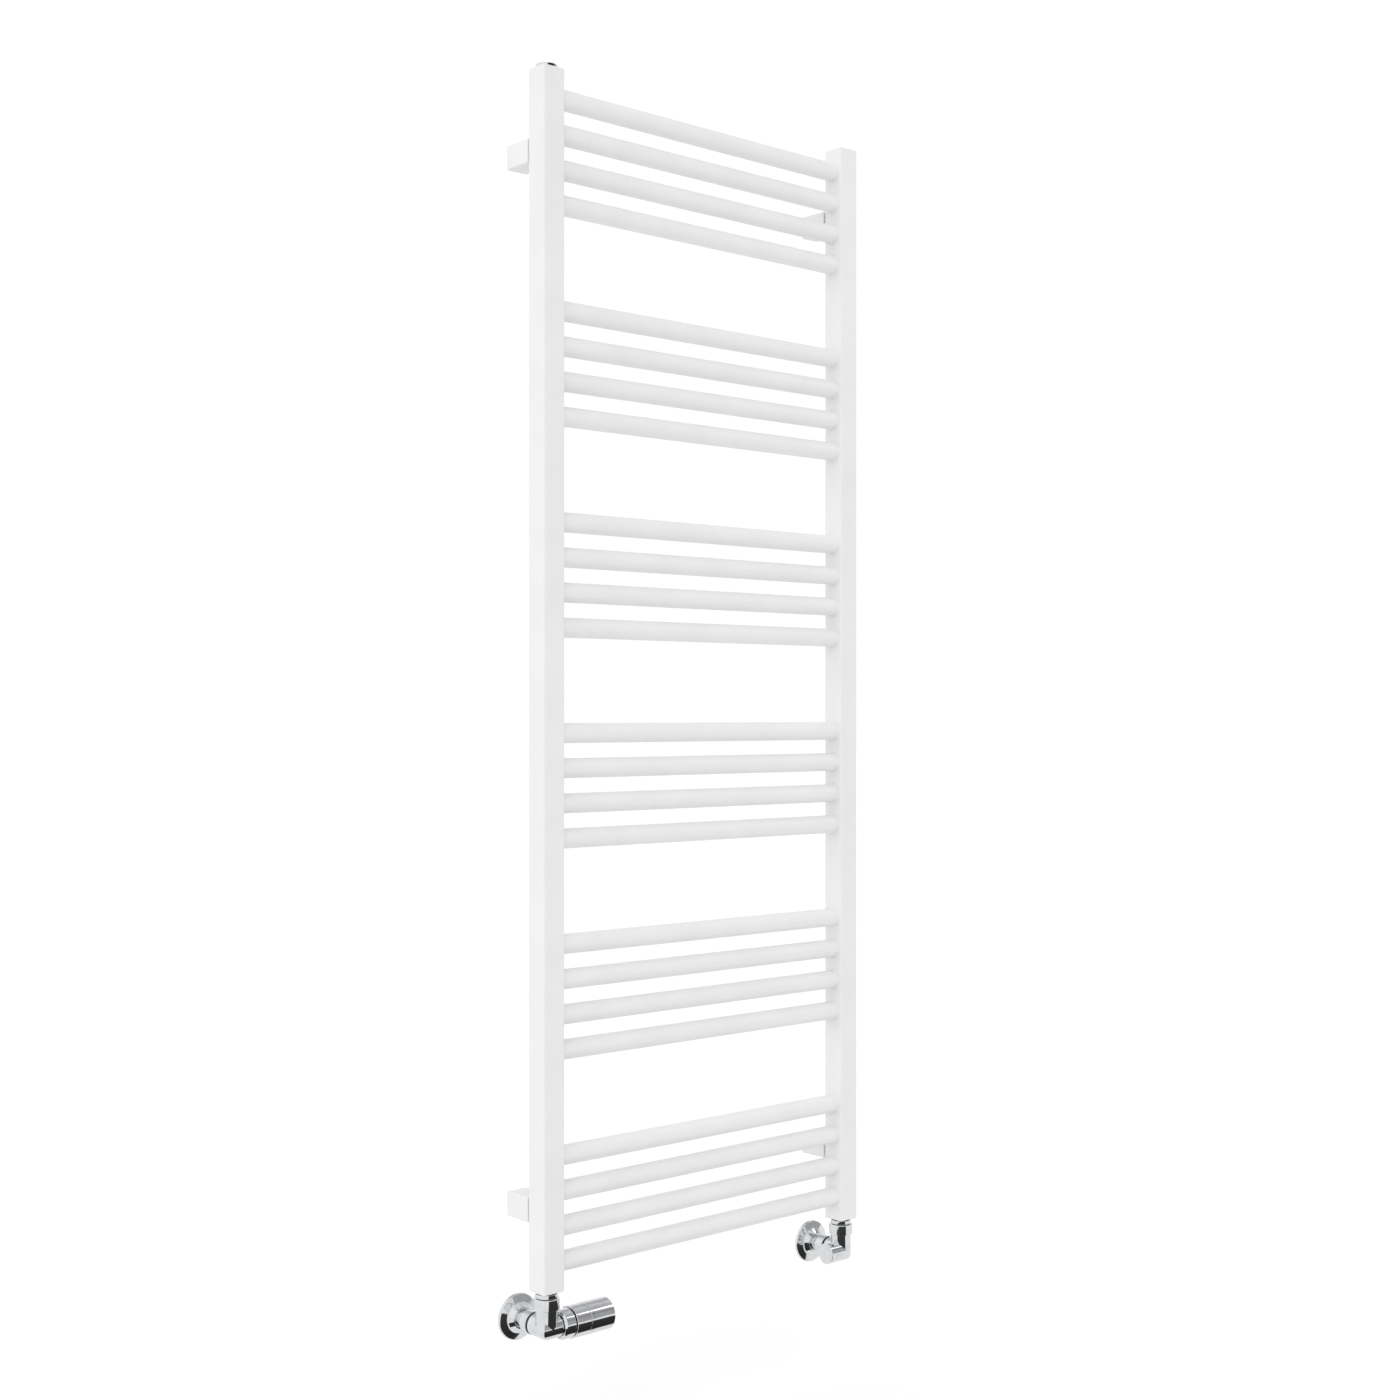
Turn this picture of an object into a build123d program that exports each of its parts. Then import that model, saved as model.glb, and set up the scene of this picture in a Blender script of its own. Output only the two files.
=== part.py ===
from build123d import *
import os

# Ladder towel radiator with a thermostatic corner valve and a lockshield corner valve.
# Millimetres. X runs along the width, +Y into the wall and +Z up. The origin is the centre
# of the four wall fixings, on the wall's face, so the whole radiator lies at negative Y.

# --- Radiator ---
axis_spacing = 470.0  # between the two collectors' axes
wall_distance = 57.5  # from the wall to the collectors' axes
collector_side = 30.0
collector_wall = 1.5
collector_corner = 3.0
collector_height = 1380.0
rung_radius = 11.5
rung_wall = 1.2
rung_pitch = 40.0
group_pitch = 240.0
group_count = 6
rungs_per_group = 4
end_plate_thickness = 3.0
socket_bore = 10.5  # G 1/2, as a plain bore
socket_radius = 12.9
socket_length = 18.0

# --- Wall brackets ---
fixing_spacing_z = 1200.0
cover_side = 28.0
cover_wall = 1.8
cover_corner = 2.0
cover_gap = 2.5  # between a collector's back and its cover
boss_radius = 7.0
boss_length = 8.0
stud_radius = 6.0
stud_thread_radius = 3.0
base_radius = 11.0
base_flange_radius = 12.0
base_flange = 3.0
base_depth = 30.0
fixing_hole_radius = 2.75
fixing_head_room = 6.0
grub_radius = 2.5
grub_length = 5.0
grub_distance = 20.0  # from the wall
key_hole_radius = 2.2

# --- Air vent ---
plug_radius = 12.5
plug_height = 4.4
vent_seal_height = 0.8
half_inch_thread_radius = 10.45  # G 1/2, as a plain rod
vent_thread_length = 12.0
bleed_head_radius = 5.0
bleed_rod_radius = 2.5
running_gap = 0.05
clear_gap = 0.3

# --- Valves, measured from each valve's centre, where its three legs meet ---
valve_drop = 42.2  # from the collector's lower end to the valve's centre
pipe_bore = 7.55  # for a 15 mm pipe
tail_seal_radius = 12.3
tail_seal_height = 2.0
tail_ring_radius = 12.6
tail_ring_end = 35.4
tail_rod_radius = 9.0
tail_flange_radius = 11.2
tail_flange_top = 31.4
tail_flange_end = 28.6
tail_bore = 6.5
union_radius = 14.9
union_top = 35.0
union_bottom = 22.2
leg_radius = 12.8
up_thread_radius = 11.2
wall_leg_end = 20.0
wall_thread_radius = 10.9
wall_thread_end = 31.0
pipe_stop = 16.0
ring_outer_radius = 12.4
nut_start = 23.3
nut_end = 35.5
nut_radius = 13.2
nut_lip = 2.0
olive_radius = 9.2
sleeve_radius = 9.6

# --- Thermostatic head, along the head leg ---
head_thread_start = 17.5
head_thread_end = 24.6
head_thread_radius = 13.9
collar_start = 15.5
collar_end = 30.0
collar_radius = 16.8
collar_small_radius = 15.2
collar_bore = 14.0
collar_lip_start = 27.2
collar_lip_bore = 12.2
index_start = 31.0
index_end = 50.8
index_radius = 18.4
index_bore = 16.0
index_floor = 3.0
neck_radius = 12.0
neck_flange_radius = 13.8
neck_bore = 8.0
handle_start = 51.2
handle_end = 85.0
handle_radius = 18.3
handle_spigot_radius = 15.7
handle_spigot_start = 43.0
handle_bore = 14.0
handle_cavity_end = 82.0
sensor_start = 50.0
sensor_end = 80.0
sensor_radius = 12.0
pin_radius = 3.0
pin_head_radius = 6.0
pin_head_length = 2.0
pin_tip = 28.6

# --- Valve insides ---
chamber_radius = 8.0
chamber_back = 8.0
chamber_front = 9.0
seat_radius = 4.5
seat_thickness = 2.0
wall_passage_radius = 3.0
wall_passage_offset = 4.5
tail_passage_radius = 3.2
tail_socket_start = 14.0
insert_bore = 10.0
insert_radius = 9.95
insert_start = 9.3
insert_floor_end = 12.0
insert_end = 24.6
insert_cavity_radius = 5.5
gland_start = 22.0
gland_radius = 5.4
spindle_radius = 2.0
spindle_hole = 2.08
spindle_clip_radius = 4.5
spindle_clip_start = 19.2
spindle_clip_length = 1.5
washer_start = 3.6
washer_end = 6.6
washer_radius = 6.0
spring_radius = 3.5
spring_wire_radius = 0.3
spring_start = 12.4
spring_turns = 5

# --- Lockshield head ---
lock_corner_ball = 15.6  # rounds off the elbow at the back of the cap leg
lock_leg_end = 19.0
lock_spigot_radius = 10.5
lock_spigot_end = 25.0
lock_bore = 6.0
cap_radius = 13.0
cap_end = 27.8
cap_bore = 10.8
cap_bore_end = 25.6
cap_mouth_radius = 12.3
cap_mouth_end = 20.8
cap_seal_start = 19.3
cap_seal_end = 20.4
cap_seal_inner = 10.8
cap_seal_outer = 12.0
lock_tip_start = 4.0
lock_tip_radius = 4.9
lock_spindle_start = 9.2
lock_spindle_radius = 5.95
lock_spindle_end = 22.0
lock_groove_start = 16.9
lock_groove_end = 18.3
lock_groove_radius = 4.3
lock_seal_start = 17.0
lock_seal_end = 18.2
lock_seal_inner = 4.4
hex_socket_side = 5.0
hex_socket_depth = 4.0

# --- Wall roses ---
rose_radius = 26.6
rose_rim = 3.2
rose_shoulder_radius = 17.8
rose_shoulder = 5.6
rose_step = 7.6
rose_hub_radius = 12.0
rose_height = 12.0

collector_y = -wall_distance
half_spacing = axis_spacing / 2
half_height = collector_height / 2
inner_face = half_spacing - collector_side / 2
valve_z = -half_height - valve_drop
SIDES = (-1, 1)

os.makedirs("parts", exist_ok=True)


def save(name, solids):
    """Write one node's solids to its STEP file."""
    shapes = solids if isinstance(solids, list) else [solids]
    loose = [solid for shape in shapes for solid in shape.solids()]
    export_step(Compound(children=loose) if len(loose) > 1 else loose[0], f"parts/{name}.step")


def frame_at(origin, direction):
    """A plane whose local Z runs along a row axis from a point."""
    return Plane(origin=origin, z_dir=direction)


def rod(radius, start, end, origin, direction):
    """A round rod from start to end along a direction from a point."""
    return frame_at(origin, direction) * Pos(0, 0, (start + end) / 2) * Cylinder(radius, end - start)


def ring(outer, inner, start, end, origin, direction):
    """A round ring from start to end along a direction from a point."""
    return rod(outer, start, end, origin, direction) - rod(inner, start - 1, end + 1, origin, direction)


def turned(points, origin, direction):
    """A solid turned about a direction from (radius, distance) points."""
    profile = make_face(Polyline([(radius, 0, distance) for radius, distance in points], close=True))
    return frame_at(origin, direction) * revolve(profile, Axis.Z)


def rung_heights():
    """The heights of the rungs' axes, from the top down."""
    top = ((group_count - 1) * group_pitch + (rungs_per_group - 1) * rung_pitch) / 2
    for group in range(group_count):
        for rung in range(rungs_per_group):
            yield top - group * group_pitch - rung * rung_pitch


def bracket_places():
    """The four brackets' X and Z."""
    return [(side * half_spacing, up * fixing_spacing_z / 2) for up in (1, -1) for side in SIDES]


def square_bar(side, length, corner):
    """A square bar along Z with rounded corners, centred on its middle."""
    return Pos(0, 0, -length / 2) * extrude(RectangleRounded(side, side, corner), length)


# --- Radiator ---
def collector(side):
    """One collector: a square tube with a hole at each rung and each bracket boss."""
    x = side * half_spacing
    tube = square_bar(collector_side, collector_height, collector_corner)
    inside = collector_side - 2 * collector_wall
    tube -= square_bar(inside, collector_height, collector_corner - collector_wall)
    tube = Pos(x, collector_y, 0) * tube
    for height in rung_heights():
        mouth = (side * (inner_face - 1), collector_y, height)
        tube -= rod(rung_radius - rung_wall, 0, collector_wall + 2, mouth, (side, 0, 0))
    for bracket_x, bracket_z in bracket_places():
        if bracket_x == x:
            back = (x, collector_y + collector_side / 2 + 1, bracket_z)
            tube -= rod(boss_radius, 0, collector_wall + 2, back, (0, -1, 0))
    return tube


def rung(height):
    """One rung: a round tube that meets both collectors' inner faces."""
    start = (-inner_face, collector_y, height)
    return ring(rung_radius, rung_radius - rung_wall, 0, 2 * inner_face, start, (1, 0, 0))


def end_plate(side, up, has_socket):
    """The plate that closes one end of a collector, flush with its edge."""
    inside = collector_side - 2 * collector_wall
    plate = square_bar(inside, end_plate_thickness, collector_corner - collector_wall)
    plate = Pos(side * half_spacing, collector_y, up * (half_height - end_plate_thickness / 2)) * plate
    if has_socket:
        mouth = (side * half_spacing, collector_y, up * half_height)
        plate -= rod(socket_radius, -1, end_plate_thickness + 1, mouth, (0, 0, -up))
    return plate


def threaded_socket(side, up):
    """The threaded socket welded into one end of a collector."""
    mouth = (side * half_spacing, collector_y, up * half_height)
    return ring(socket_radius, socket_bore, 0, socket_length, mouth, (0, 0, -up))


def bracket_boss(x, z):
    """The threaded boss in a collector's back that a bracket's stud screws into."""
    back = (x, collector_y + collector_side / 2, z)
    return ring(boss_radius, stud_thread_radius, 0, boss_length, back, (0, -1, 0))


def make_radiator():
    """Write the radiator's own nodes."""
    save("left_collector", collector(-1))
    save("right_collector", collector(1))
    for number, height in enumerate(rung_heights(), start=1):
        save(f"rung_{number:02d}", rung(height))
    socket_places = [(-1, -1), (1, -1), (-1, 1)]
    plates = [end_plate(side, up, (side, up) in socket_places) for side in SIDES for up in SIDES]
    save("end_plates", plates)
    save("threaded_sockets", [threaded_socket(side, up) for side, up in socket_places])
    save("bracket_bosses", [bracket_boss(x, z) for x, z in bracket_places()])


# --- Wall brackets ---
def bracket_cover(x, z):
    """The square sleeve that hides a bracket, open at the wall and holed for the stud."""
    depth = wall_distance - collector_side / 2 - cover_gap
    bar = extrude(RectangleRounded(cover_side, cover_side, cover_corner), depth)
    front_edges = bar.edges().group_by(Axis.Z)[-1]
    bar = fillet(front_edges, cover_corner - 0.5)
    hollow_side = cover_side - 2 * cover_wall
    bar -= extrude(RectangleRounded(hollow_side, hollow_side, cover_corner / 2), depth - cover_wall)
    bar -= Cylinder(stud_radius + clear_gap, 4 * depth)
    cover = frame_at((x, 0, z), (0, -1, 0)) * bar
    away = 1 if z > 0 else -1
    return cover - rod(key_hole_radius, 0, cover_side, (x, -grub_distance, z), (0, 0, away))


def bracket_base(x, z):
    """The cup that a wall screw holds to the wall and the stud slides into."""
    wall_point = (x, 0, z)
    out = (0, -1, 0)
    base = rod(base_radius, 0, base_depth, wall_point, out)
    base += rod(base_flange_radius, 0, base_flange, wall_point, out)
    base -= rod(stud_radius + running_gap, base_flange, base_depth + 1, wall_point, out)
    base -= rod(fixing_hole_radius, -1, base_flange + 1, wall_point, out)
    away = 1 if z > 0 else -1
    return base - rod(grub_radius, 0, base_radius + 1, (x, -grub_distance, z), (0, 0, away))


def bracket_stud(x, z):
    """The stud between a collector's boss and its base, with its threaded end."""
    wall_point = (x, 0, z)
    out = (0, -1, 0)
    back = wall_distance - collector_side / 2
    stud = rod(stud_radius, base_flange + fixing_head_room, back, wall_point, out)
    return stud + rod(stud_thread_radius, back, back + boss_length, wall_point, out)


def bracket_grub(x, z):
    """The hex socket grub screw that locks a stud in its base."""
    away = 1 if z > 0 else -1
    seat = (x, -grub_distance, z)
    screw = rod(grub_radius, stud_radius, stud_radius + grub_length, seat, (0, 0, away))
    socket = extrude(RegularPolygon(1.25, 6, major_radius=False), 2.5)
    socket = frame_at((x, -grub_distance, z + away * (stud_radius + grub_length)), (0, 0, -away)) * socket
    return screw - socket


def make_brackets():
    """Write the four wall brackets' nodes."""
    places = bracket_places()
    save("bracket_covers", [bracket_cover(x, z) for x, z in places])
    save("bracket_wall_bases", [bracket_base(x, z) for x, z in places])
    save("bracket_studs", [bracket_stud(x, z) for x, z in places])
    save("bracket_grub_screws", [bracket_grub(x, z) for x, z in places])


# --- Air vent ---
def make_air_vent():
    """Write the plug on the left collector's top, its seal and its bleed screw."""
    top = (-half_spacing, collector_y, half_height)
    up = (0, 0, 1)
    head_start = vent_seal_height
    edge = 0.8
    head = turned(
        [
            (0, head_start),
            (plug_radius, head_start),
            (plug_radius, plug_height - edge),
            (plug_radius - edge, plug_height),
            (0, plug_height),
        ],
        top,
        up,
    )
    plug = head + rod(half_inch_thread_radius, -vent_thread_length, head_start, top, up)
    recess = bleed_head_radius + clear_gap
    recess_floor = plug_height - 3.0
    plug -= rod(recess, recess_floor, plug_height + 1, top, up)
    plug -= rod(bleed_rod_radius + running_gap, -vent_thread_length - 1, plug_height, top, up)
    save("air_vent_plug", plug)
    save("air_vent_seal", ring(plug_radius - 0.6, half_inch_thread_radius, 0, vent_seal_height, top, up))

    screw_top = plug_height - 0.2
    screw_start = recess_floor + clear_gap
    screw = rod(bleed_head_radius, screw_start, screw_top, top, up)
    screw += rod(bleed_rod_radius, -vent_thread_length + 1, screw_start, top, up)
    slot_depth = 1.2
    slot_width = 1.0
    slot = Box(2 * bleed_head_radius + 2, slot_width, 2 * slot_depth)
    screw -= Pos(-half_spacing, collector_y, half_height + screw_top) * slot
    save("bleed_screw", screw)


# --- Valves ---
def valve_centre(side):
    """The point where a valve's three legs meet."""
    return (side * half_spacing, collector_y, valve_z)


def mitred_elbow(centre, other_leg):
    """An elbow's outer corner, where the head leg and one other leg are mitred together."""
    reach = 2 * leg_radius
    head_line = rod(leg_radius, -reach, reach, centre, (1, 0, 0))
    other_line = rod(leg_radius, -reach, reach, centre, other_leg)
    return head_line & other_line


def corner_body(side, leg_end, elbow):
    """A corner valve body: three legs at right angles, with its two pipe threads."""
    centre = valve_centre(side)
    up, wall, head = (0, 0, 1), (0, 1, 0), (-side, 0, 0)
    body = elbow
    body += rod(leg_radius, 0, union_bottom, centre, up)
    body += rod(leg_radius, 0, wall_leg_end, centre, wall)
    body += rod(leg_radius, 0, leg_end, centre, head)
    body += rod(up_thread_radius, 0, tail_flange_end, centre, up)
    body += rod(wall_thread_radius, 0, wall_thread_end, centre, wall)
    return body


def bore_body(body, side):
    """Cut the waterways that both bodies share."""
    centre = valve_centre(side)
    up, wall, head, back = (0, 0, 1), (0, 1, 0), (-side, 0, 0), (side, 0, 0)
    body -= rod(pipe_bore, pipe_stop, wall_thread_end + 1, centre, wall)
    body -= rod(chamber_radius, tail_socket_start, tail_flange_end + 1, centre, up)
    body -= rod(chamber_radius, seat_thickness, chamber_back, centre, back)
    body -= rod(seat_radius, -1, seat_thickness + 1, centre, back)
    body -= rod(chamber_radius, 0, chamber_front + 0.5, centre, head)
    behind = (centre[0] + side * wall_passage_offset, centre[1], centre[2])
    ahead = (centre[0] - side * wall_passage_offset, centre[1], centre[2])
    body -= rod(wall_passage_radius, 0, pipe_stop + 1, behind, wall)
    body -= rod(tail_passage_radius, 0, tail_socket_start + 1, ahead, up)
    return body


def make_shared_fittings():
    """Write the fittings that both valves have, as one node for each kind."""
    kinds = {
        "tailpiece_seals": [],
        "tailpieces": [],
        "union_nuts": [],
        "o_rings": [],
        "compression_nuts": [],
        "olives": [],
        "pipe_sleeves": [],
        "wall_roses": [],
    }
    up, wall = (0, 0, 1), (0, 1, 0)
    chamfer_size = 0.8
    for side in SIDES:
        centre = valve_centre(side)
        seal_bottom = valve_drop - tail_seal_height
        kinds["tailpiece_seals"].append(
            ring(tail_seal_radius, half_inch_thread_radius, seal_bottom, valve_drop, centre, up)
        )

        tail = rod(half_inch_thread_radius, seal_bottom, valve_drop + 14, centre, up)
        tail += rod(tail_ring_radius, tail_ring_end, seal_bottom, centre, up)
        tail += rod(tail_rod_radius, tail_flange_end, tail_ring_end, centre, up)
        tail += rod(tail_flange_radius, tail_flange_end, tail_flange_top, centre, up)
        tail -= rod(tail_bore, 0, valve_drop + 20, centre, up)
        kinds["tailpieces"].append(tail)

        union = turned(
            [
                (up_thread_radius + 0.1, union_bottom),
                (union_radius - 0.3, union_bottom),
                (union_radius, union_bottom + 0.3),
                (union_radius, union_top - chamfer_size),
                (union_radius - chamfer_size, union_top),
                (tail_rod_radius + 0.1, union_top),
                (tail_rod_radius + 0.1, tail_flange_top + 0.1),
                (up_thread_radius + 0.1, tail_flange_top + 0.1),
            ],
            centre,
            up,
        )
        kinds["union_nuts"].append(union)

        kinds["o_rings"].append(
            ring(ring_outer_radius, wall_thread_radius + 0.1, wall_leg_end, nut_start, centre, wall)
        )
        nut = turned(
            [
                (wall_thread_radius + 0.1, nut_start),
                (nut_radius - 0.3, nut_start),
                (nut_radius, nut_start + 0.3),
                (nut_radius, nut_end - chamfer_size),
                (nut_radius - chamfer_size, nut_end),
                (pipe_bore, nut_end),
                (pipe_bore, nut_end - nut_lip),
                (wall_thread_radius + 0.1, nut_end - nut_lip),
            ],
            centre,
            wall,
        )
        kinds["compression_nuts"].append(nut)

        olive_start, olive_end = wall_thread_end + 0.1, nut_end - nut_lip - 0.1
        olive_middle = (olive_start + olive_end) / 2
        olive = turned(
            [
                (pipe_bore, olive_start),
                (pipe_bore + 0.8, olive_start),
                (olive_radius, olive_middle),
                (pipe_bore + 0.8, olive_end),
                (pipe_bore, olive_end),
            ],
            centre,
            wall,
        )
        kinds["olives"].append(olive)
        kinds["pipe_sleeves"].append(ring(sleeve_radius, pipe_bore, nut_end, wall_distance, centre, wall))

        rose = turned(
            [
                (sleeve_radius + 0.1, 0),
                (rose_radius, 0),
                (rose_radius, rose_rim - chamfer_size),
                (rose_radius - chamfer_size, rose_rim),
                (rose_shoulder_radius, rose_shoulder),
                (rose_shoulder_radius, rose_step),
                (rose_hub_radius, rose_height),
                (sleeve_radius + 0.1, rose_height),
            ],
            (centre[0], 0, centre[2]),
            (0, -1, 0),
        )
        kinds["wall_roses"].append(rose)
    for name, solids in kinds.items():
        save(name, solids)


def return_spring(centre, head):
    """The coil spring round the valve's spindle."""
    height = spindle_clip_start - 2 * spring_wire_radius - spring_start
    path = Helix(height / spring_turns, height, spring_radius)
    section = Plane(origin=path @ 0, z_dir=path % 0) * Circle(spring_wire_radius)
    coil = sweep(section, path=path)
    return frame_at(centre, head) * Pos(0, 0, spring_start + 0.1) * coil


def make_thermostatic_valve():
    """Write the thermostatic valve's body, insert and head."""
    side = -1
    centre = valve_centre(side)
    head = (1, 0, 0)
    elbow = mitred_elbow(valve_centre(side), (0, 1, 0))
    body = corner_body(side, head_thread_start, elbow)
    body += rod(head_thread_radius, head_thread_start, head_thread_end, centre, head)
    body = bore_body(body, side)
    body -= rod(insert_bore, chamber_front, head_thread_end + 1, centre, head)
    save("trv_body", body)

    insert = rod(insert_radius, insert_start, insert_end, centre, head)
    insert -= rod(insert_cavity_radius, insert_floor_end, insert_end + 1, centre, head)
    insert -= rod(spindle_hole, insert_start - 1, insert_end, centre, head)
    save("trv_insert", insert)
    save("trv_gland", ring(gland_radius, spindle_hole, gland_start, insert_end, centre, head))

    spindle = rod(spindle_radius, washer_start + 1, pin_tip - 0.1, centre, head)
    clip_end = spindle_clip_start + spindle_clip_length
    spindle += rod(spindle_clip_radius, spindle_clip_start, clip_end, centre, head)
    save("trv_spindle", spindle)
    washer = rod(washer_radius, washer_start, washer_end, centre, head)
    washer -= rod(spindle_radius, washer_start + 1, washer_end + 1, centre, head)
    save("trv_seat_washer", washer)
    save("trv_return_spring", return_spring(centre, head))

    collar = turned(
        [
            (collar_bore, collar_start),
            (collar_small_radius, collar_start),
            (collar_radius, collar_start + 2.4),
            (collar_radius, collar_end),
            (collar_lip_bore, collar_end),
            (collar_lip_bore, collar_lip_start),
            (collar_bore, collar_lip_start),
        ],
        centre,
        head,
    )
    save("trv_collar", collar)

    edge = 0.5
    index_sleeve = turned(
        [
            (neck_bore, head_thread_end + 0.3),
            (neck_flange_radius, head_thread_end + 0.3),
            (neck_flange_radius, collar_lip_start - 0.1),
            (neck_radius, collar_lip_start - 0.1),
            (neck_radius, index_start),
            (index_radius - edge, index_start),
            (index_radius, index_start + edge),
            (index_radius, index_end - edge),
            (index_radius - edge, index_end),
            (index_bore, index_end),
            (index_bore, index_start + index_floor),
            (neck_bore, index_start + index_floor),
        ],
        centre,
        head,
    )
    save("trv_index_sleeve", index_sleeve)

    end_edge = 1.0
    handle = turned(
        [
            (handle_bore, handle_spigot_start),
            (handle_spigot_radius, handle_spigot_start),
            (handle_spigot_radius, handle_start),
            (handle_radius - edge, handle_start),
            (handle_radius, handle_start + edge),
            (handle_radius, handle_end - end_edge),
            (handle_radius - end_edge, handle_end),
            (0, handle_end),
            (0, handle_cavity_end),
            (handle_bore, handle_cavity_end),
        ],
        centre,
        head,
    )
    save("trv_handle", handle)
    save("trv_sensor", rod(sensor_radius, sensor_start, sensor_end, centre, head))
    pin = rod(pin_radius, pin_tip, sensor_start - 0.1, centre, head)
    pin += rod(pin_head_radius, sensor_start - 0.1 - pin_head_length, sensor_start - 0.1, centre, head)
    save("trv_push_pin", pin)


def make_lockshield_valve():
    """Write the lockshield valve's body, regulating spindle and cap."""
    side = 1
    centre = valve_centre(side)
    head = (-1, 0, 0)
    elbow = mitred_elbow(valve_centre(side), (0, 0, 1))
    elbow = elbow & (Pos(*valve_centre(side)) * Sphere(lock_corner_ball))
    body = corner_body(side, lock_leg_end, elbow)
    body += rod(lock_spigot_radius, 0, lock_spigot_end, centre, head)
    body = bore_body(body, side)
    body -= rod(lock_bore, chamber_front, lock_spigot_end + 1, centre, head)
    save("lockshield_body", body)

    spindle = turned(
        [
            (0, lock_tip_start),
            (seat_radius - 1.0, lock_tip_start),
            (lock_tip_radius, lock_tip_start + 2.0),
            (lock_tip_radius, lock_spindle_start),
            (lock_spindle_radius, lock_spindle_start),
            (lock_spindle_radius, lock_groove_start),
            (lock_groove_radius, lock_groove_start),
            (lock_groove_radius, lock_groove_end),
            (lock_spindle_radius, lock_groove_end),
            (lock_spindle_radius, lock_spindle_end),
            (0, lock_spindle_end),
        ],
        centre,
        head,
    )
    key = extrude(RegularPolygon(hex_socket_side / 2, 6, major_radius=False), hex_socket_depth)
    spindle -= frame_at((centre[0] - lock_spindle_end, centre[1], centre[2]), (1, 0, 0)) * key
    save("lockshield_spindle", spindle)
    save(
        "lockshield_spindle_seal",
        ring(lock_spindle_radius, lock_seal_inner, lock_seal_start, lock_seal_end, centre, head),
    )

    edge = 0.5
    cap = turned(
        [
            (cap_mouth_radius, lock_leg_end + 0.1),
            (cap_radius, lock_leg_end + 0.1),
            (cap_radius, cap_end - edge),
            (cap_radius - edge, cap_end),
            (0, cap_end),
            (0, cap_bore_end),
            (cap_bore, cap_bore_end),
            (cap_bore, cap_mouth_end),
            (cap_mouth_radius, cap_mouth_end),
        ],
        centre,
        head,
    )
    save("lockshield_cap", cap)
    save(
        "lockshield_cap_seal",
        ring(cap_seal_outer, cap_seal_inner, cap_seal_start, cap_seal_end, centre, head),
    )


make_radiator()
make_brackets()
make_air_vent()
make_shared_fittings()
make_thermostatic_valve()
make_lockshield_valve()
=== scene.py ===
"""Looks of a ladder towel radiator with a thermostatic and a lockshield corner valve.

Lengths are in metres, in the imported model's frame: +X to the right, +Y into the wall, +Z up.
Each sub-assembly is a class that builds and dresses its own pieces. Distances along a valve's
legs are measured from the valve's centre, the point where its three legs meet.
"""

import logging
import math
from dataclasses import dataclass
from enum import Enum
from typing import Any, Iterable, Sequence

import bmesh
import bpy
from mathutils import Matrix, Vector


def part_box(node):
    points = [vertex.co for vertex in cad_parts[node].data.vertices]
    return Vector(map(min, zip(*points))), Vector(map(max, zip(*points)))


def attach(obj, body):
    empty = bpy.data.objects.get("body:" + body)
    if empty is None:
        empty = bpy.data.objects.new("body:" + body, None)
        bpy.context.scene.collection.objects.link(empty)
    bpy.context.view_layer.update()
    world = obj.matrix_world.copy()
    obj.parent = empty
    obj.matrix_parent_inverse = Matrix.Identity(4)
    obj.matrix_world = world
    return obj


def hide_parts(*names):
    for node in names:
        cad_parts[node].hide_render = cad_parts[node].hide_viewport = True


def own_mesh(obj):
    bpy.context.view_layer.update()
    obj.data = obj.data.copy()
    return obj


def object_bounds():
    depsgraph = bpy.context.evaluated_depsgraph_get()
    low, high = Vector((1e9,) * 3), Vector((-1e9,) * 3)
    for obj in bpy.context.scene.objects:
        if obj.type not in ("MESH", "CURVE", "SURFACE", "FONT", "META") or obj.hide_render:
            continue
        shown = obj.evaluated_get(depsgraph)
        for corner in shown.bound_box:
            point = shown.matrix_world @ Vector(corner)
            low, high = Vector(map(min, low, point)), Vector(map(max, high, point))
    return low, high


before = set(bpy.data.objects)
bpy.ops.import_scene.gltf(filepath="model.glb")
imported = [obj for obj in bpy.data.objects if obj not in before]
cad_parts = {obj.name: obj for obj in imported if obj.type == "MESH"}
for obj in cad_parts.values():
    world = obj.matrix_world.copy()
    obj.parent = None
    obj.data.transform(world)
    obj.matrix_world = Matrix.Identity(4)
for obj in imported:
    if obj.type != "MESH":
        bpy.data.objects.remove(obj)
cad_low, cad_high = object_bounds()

log = logging.getLogger("radiator")

MM = 0.001
WELD = 1e-7
FINE_STEPS = 128
PLAIN_STEPS = 64
BARREL_SLACK = 0.02 * MM
BARREL_FACING = 0.7

Colour = tuple[float, float, float]
Profile = Sequence[tuple[float, float, float]]
Work = bmesh.types.BMesh
Barrel = tuple[Vector, "Way", float]


class Slot(Enum):
    """The record's material slots."""

    WHITE = "white_powder_coat"
    CHROME = "chrome"
    BRASS = "brass"
    RUBBER = "black_rubber"
    ZINC = "zinc_steel"


class Way(Enum):
    """The row's six directions."""

    RIGHT = (1, 0, 0)
    LEFT = (-1, 0, 0)
    WALL = (0, 1, 0)
    ROOM = (0, -1, 0)
    UP = (0, 0, 1)
    DOWN = (0, 0, -1)


class Cut(Enum):
    """What one solid does to another."""

    JOIN = "UNION"
    REMOVE = "DIFFERENCE"


class Edge(float, Enum):
    """How much a turned edge is rounded."""

    HAIR = 0.1 * MM
    FINE = 0.2 * MM
    THIN = 0.25 * MM
    CRISP = 0.3 * MM
    BROKEN = 0.4 * MM
    EASED = 0.5 * MM
    SOFT = 0.6 * MM
    FULL = 0.7 * MM
    ROUND = 0.9 * MM
    BOLD = 1.1 * MM
    RING = 1.2 * MM


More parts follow.
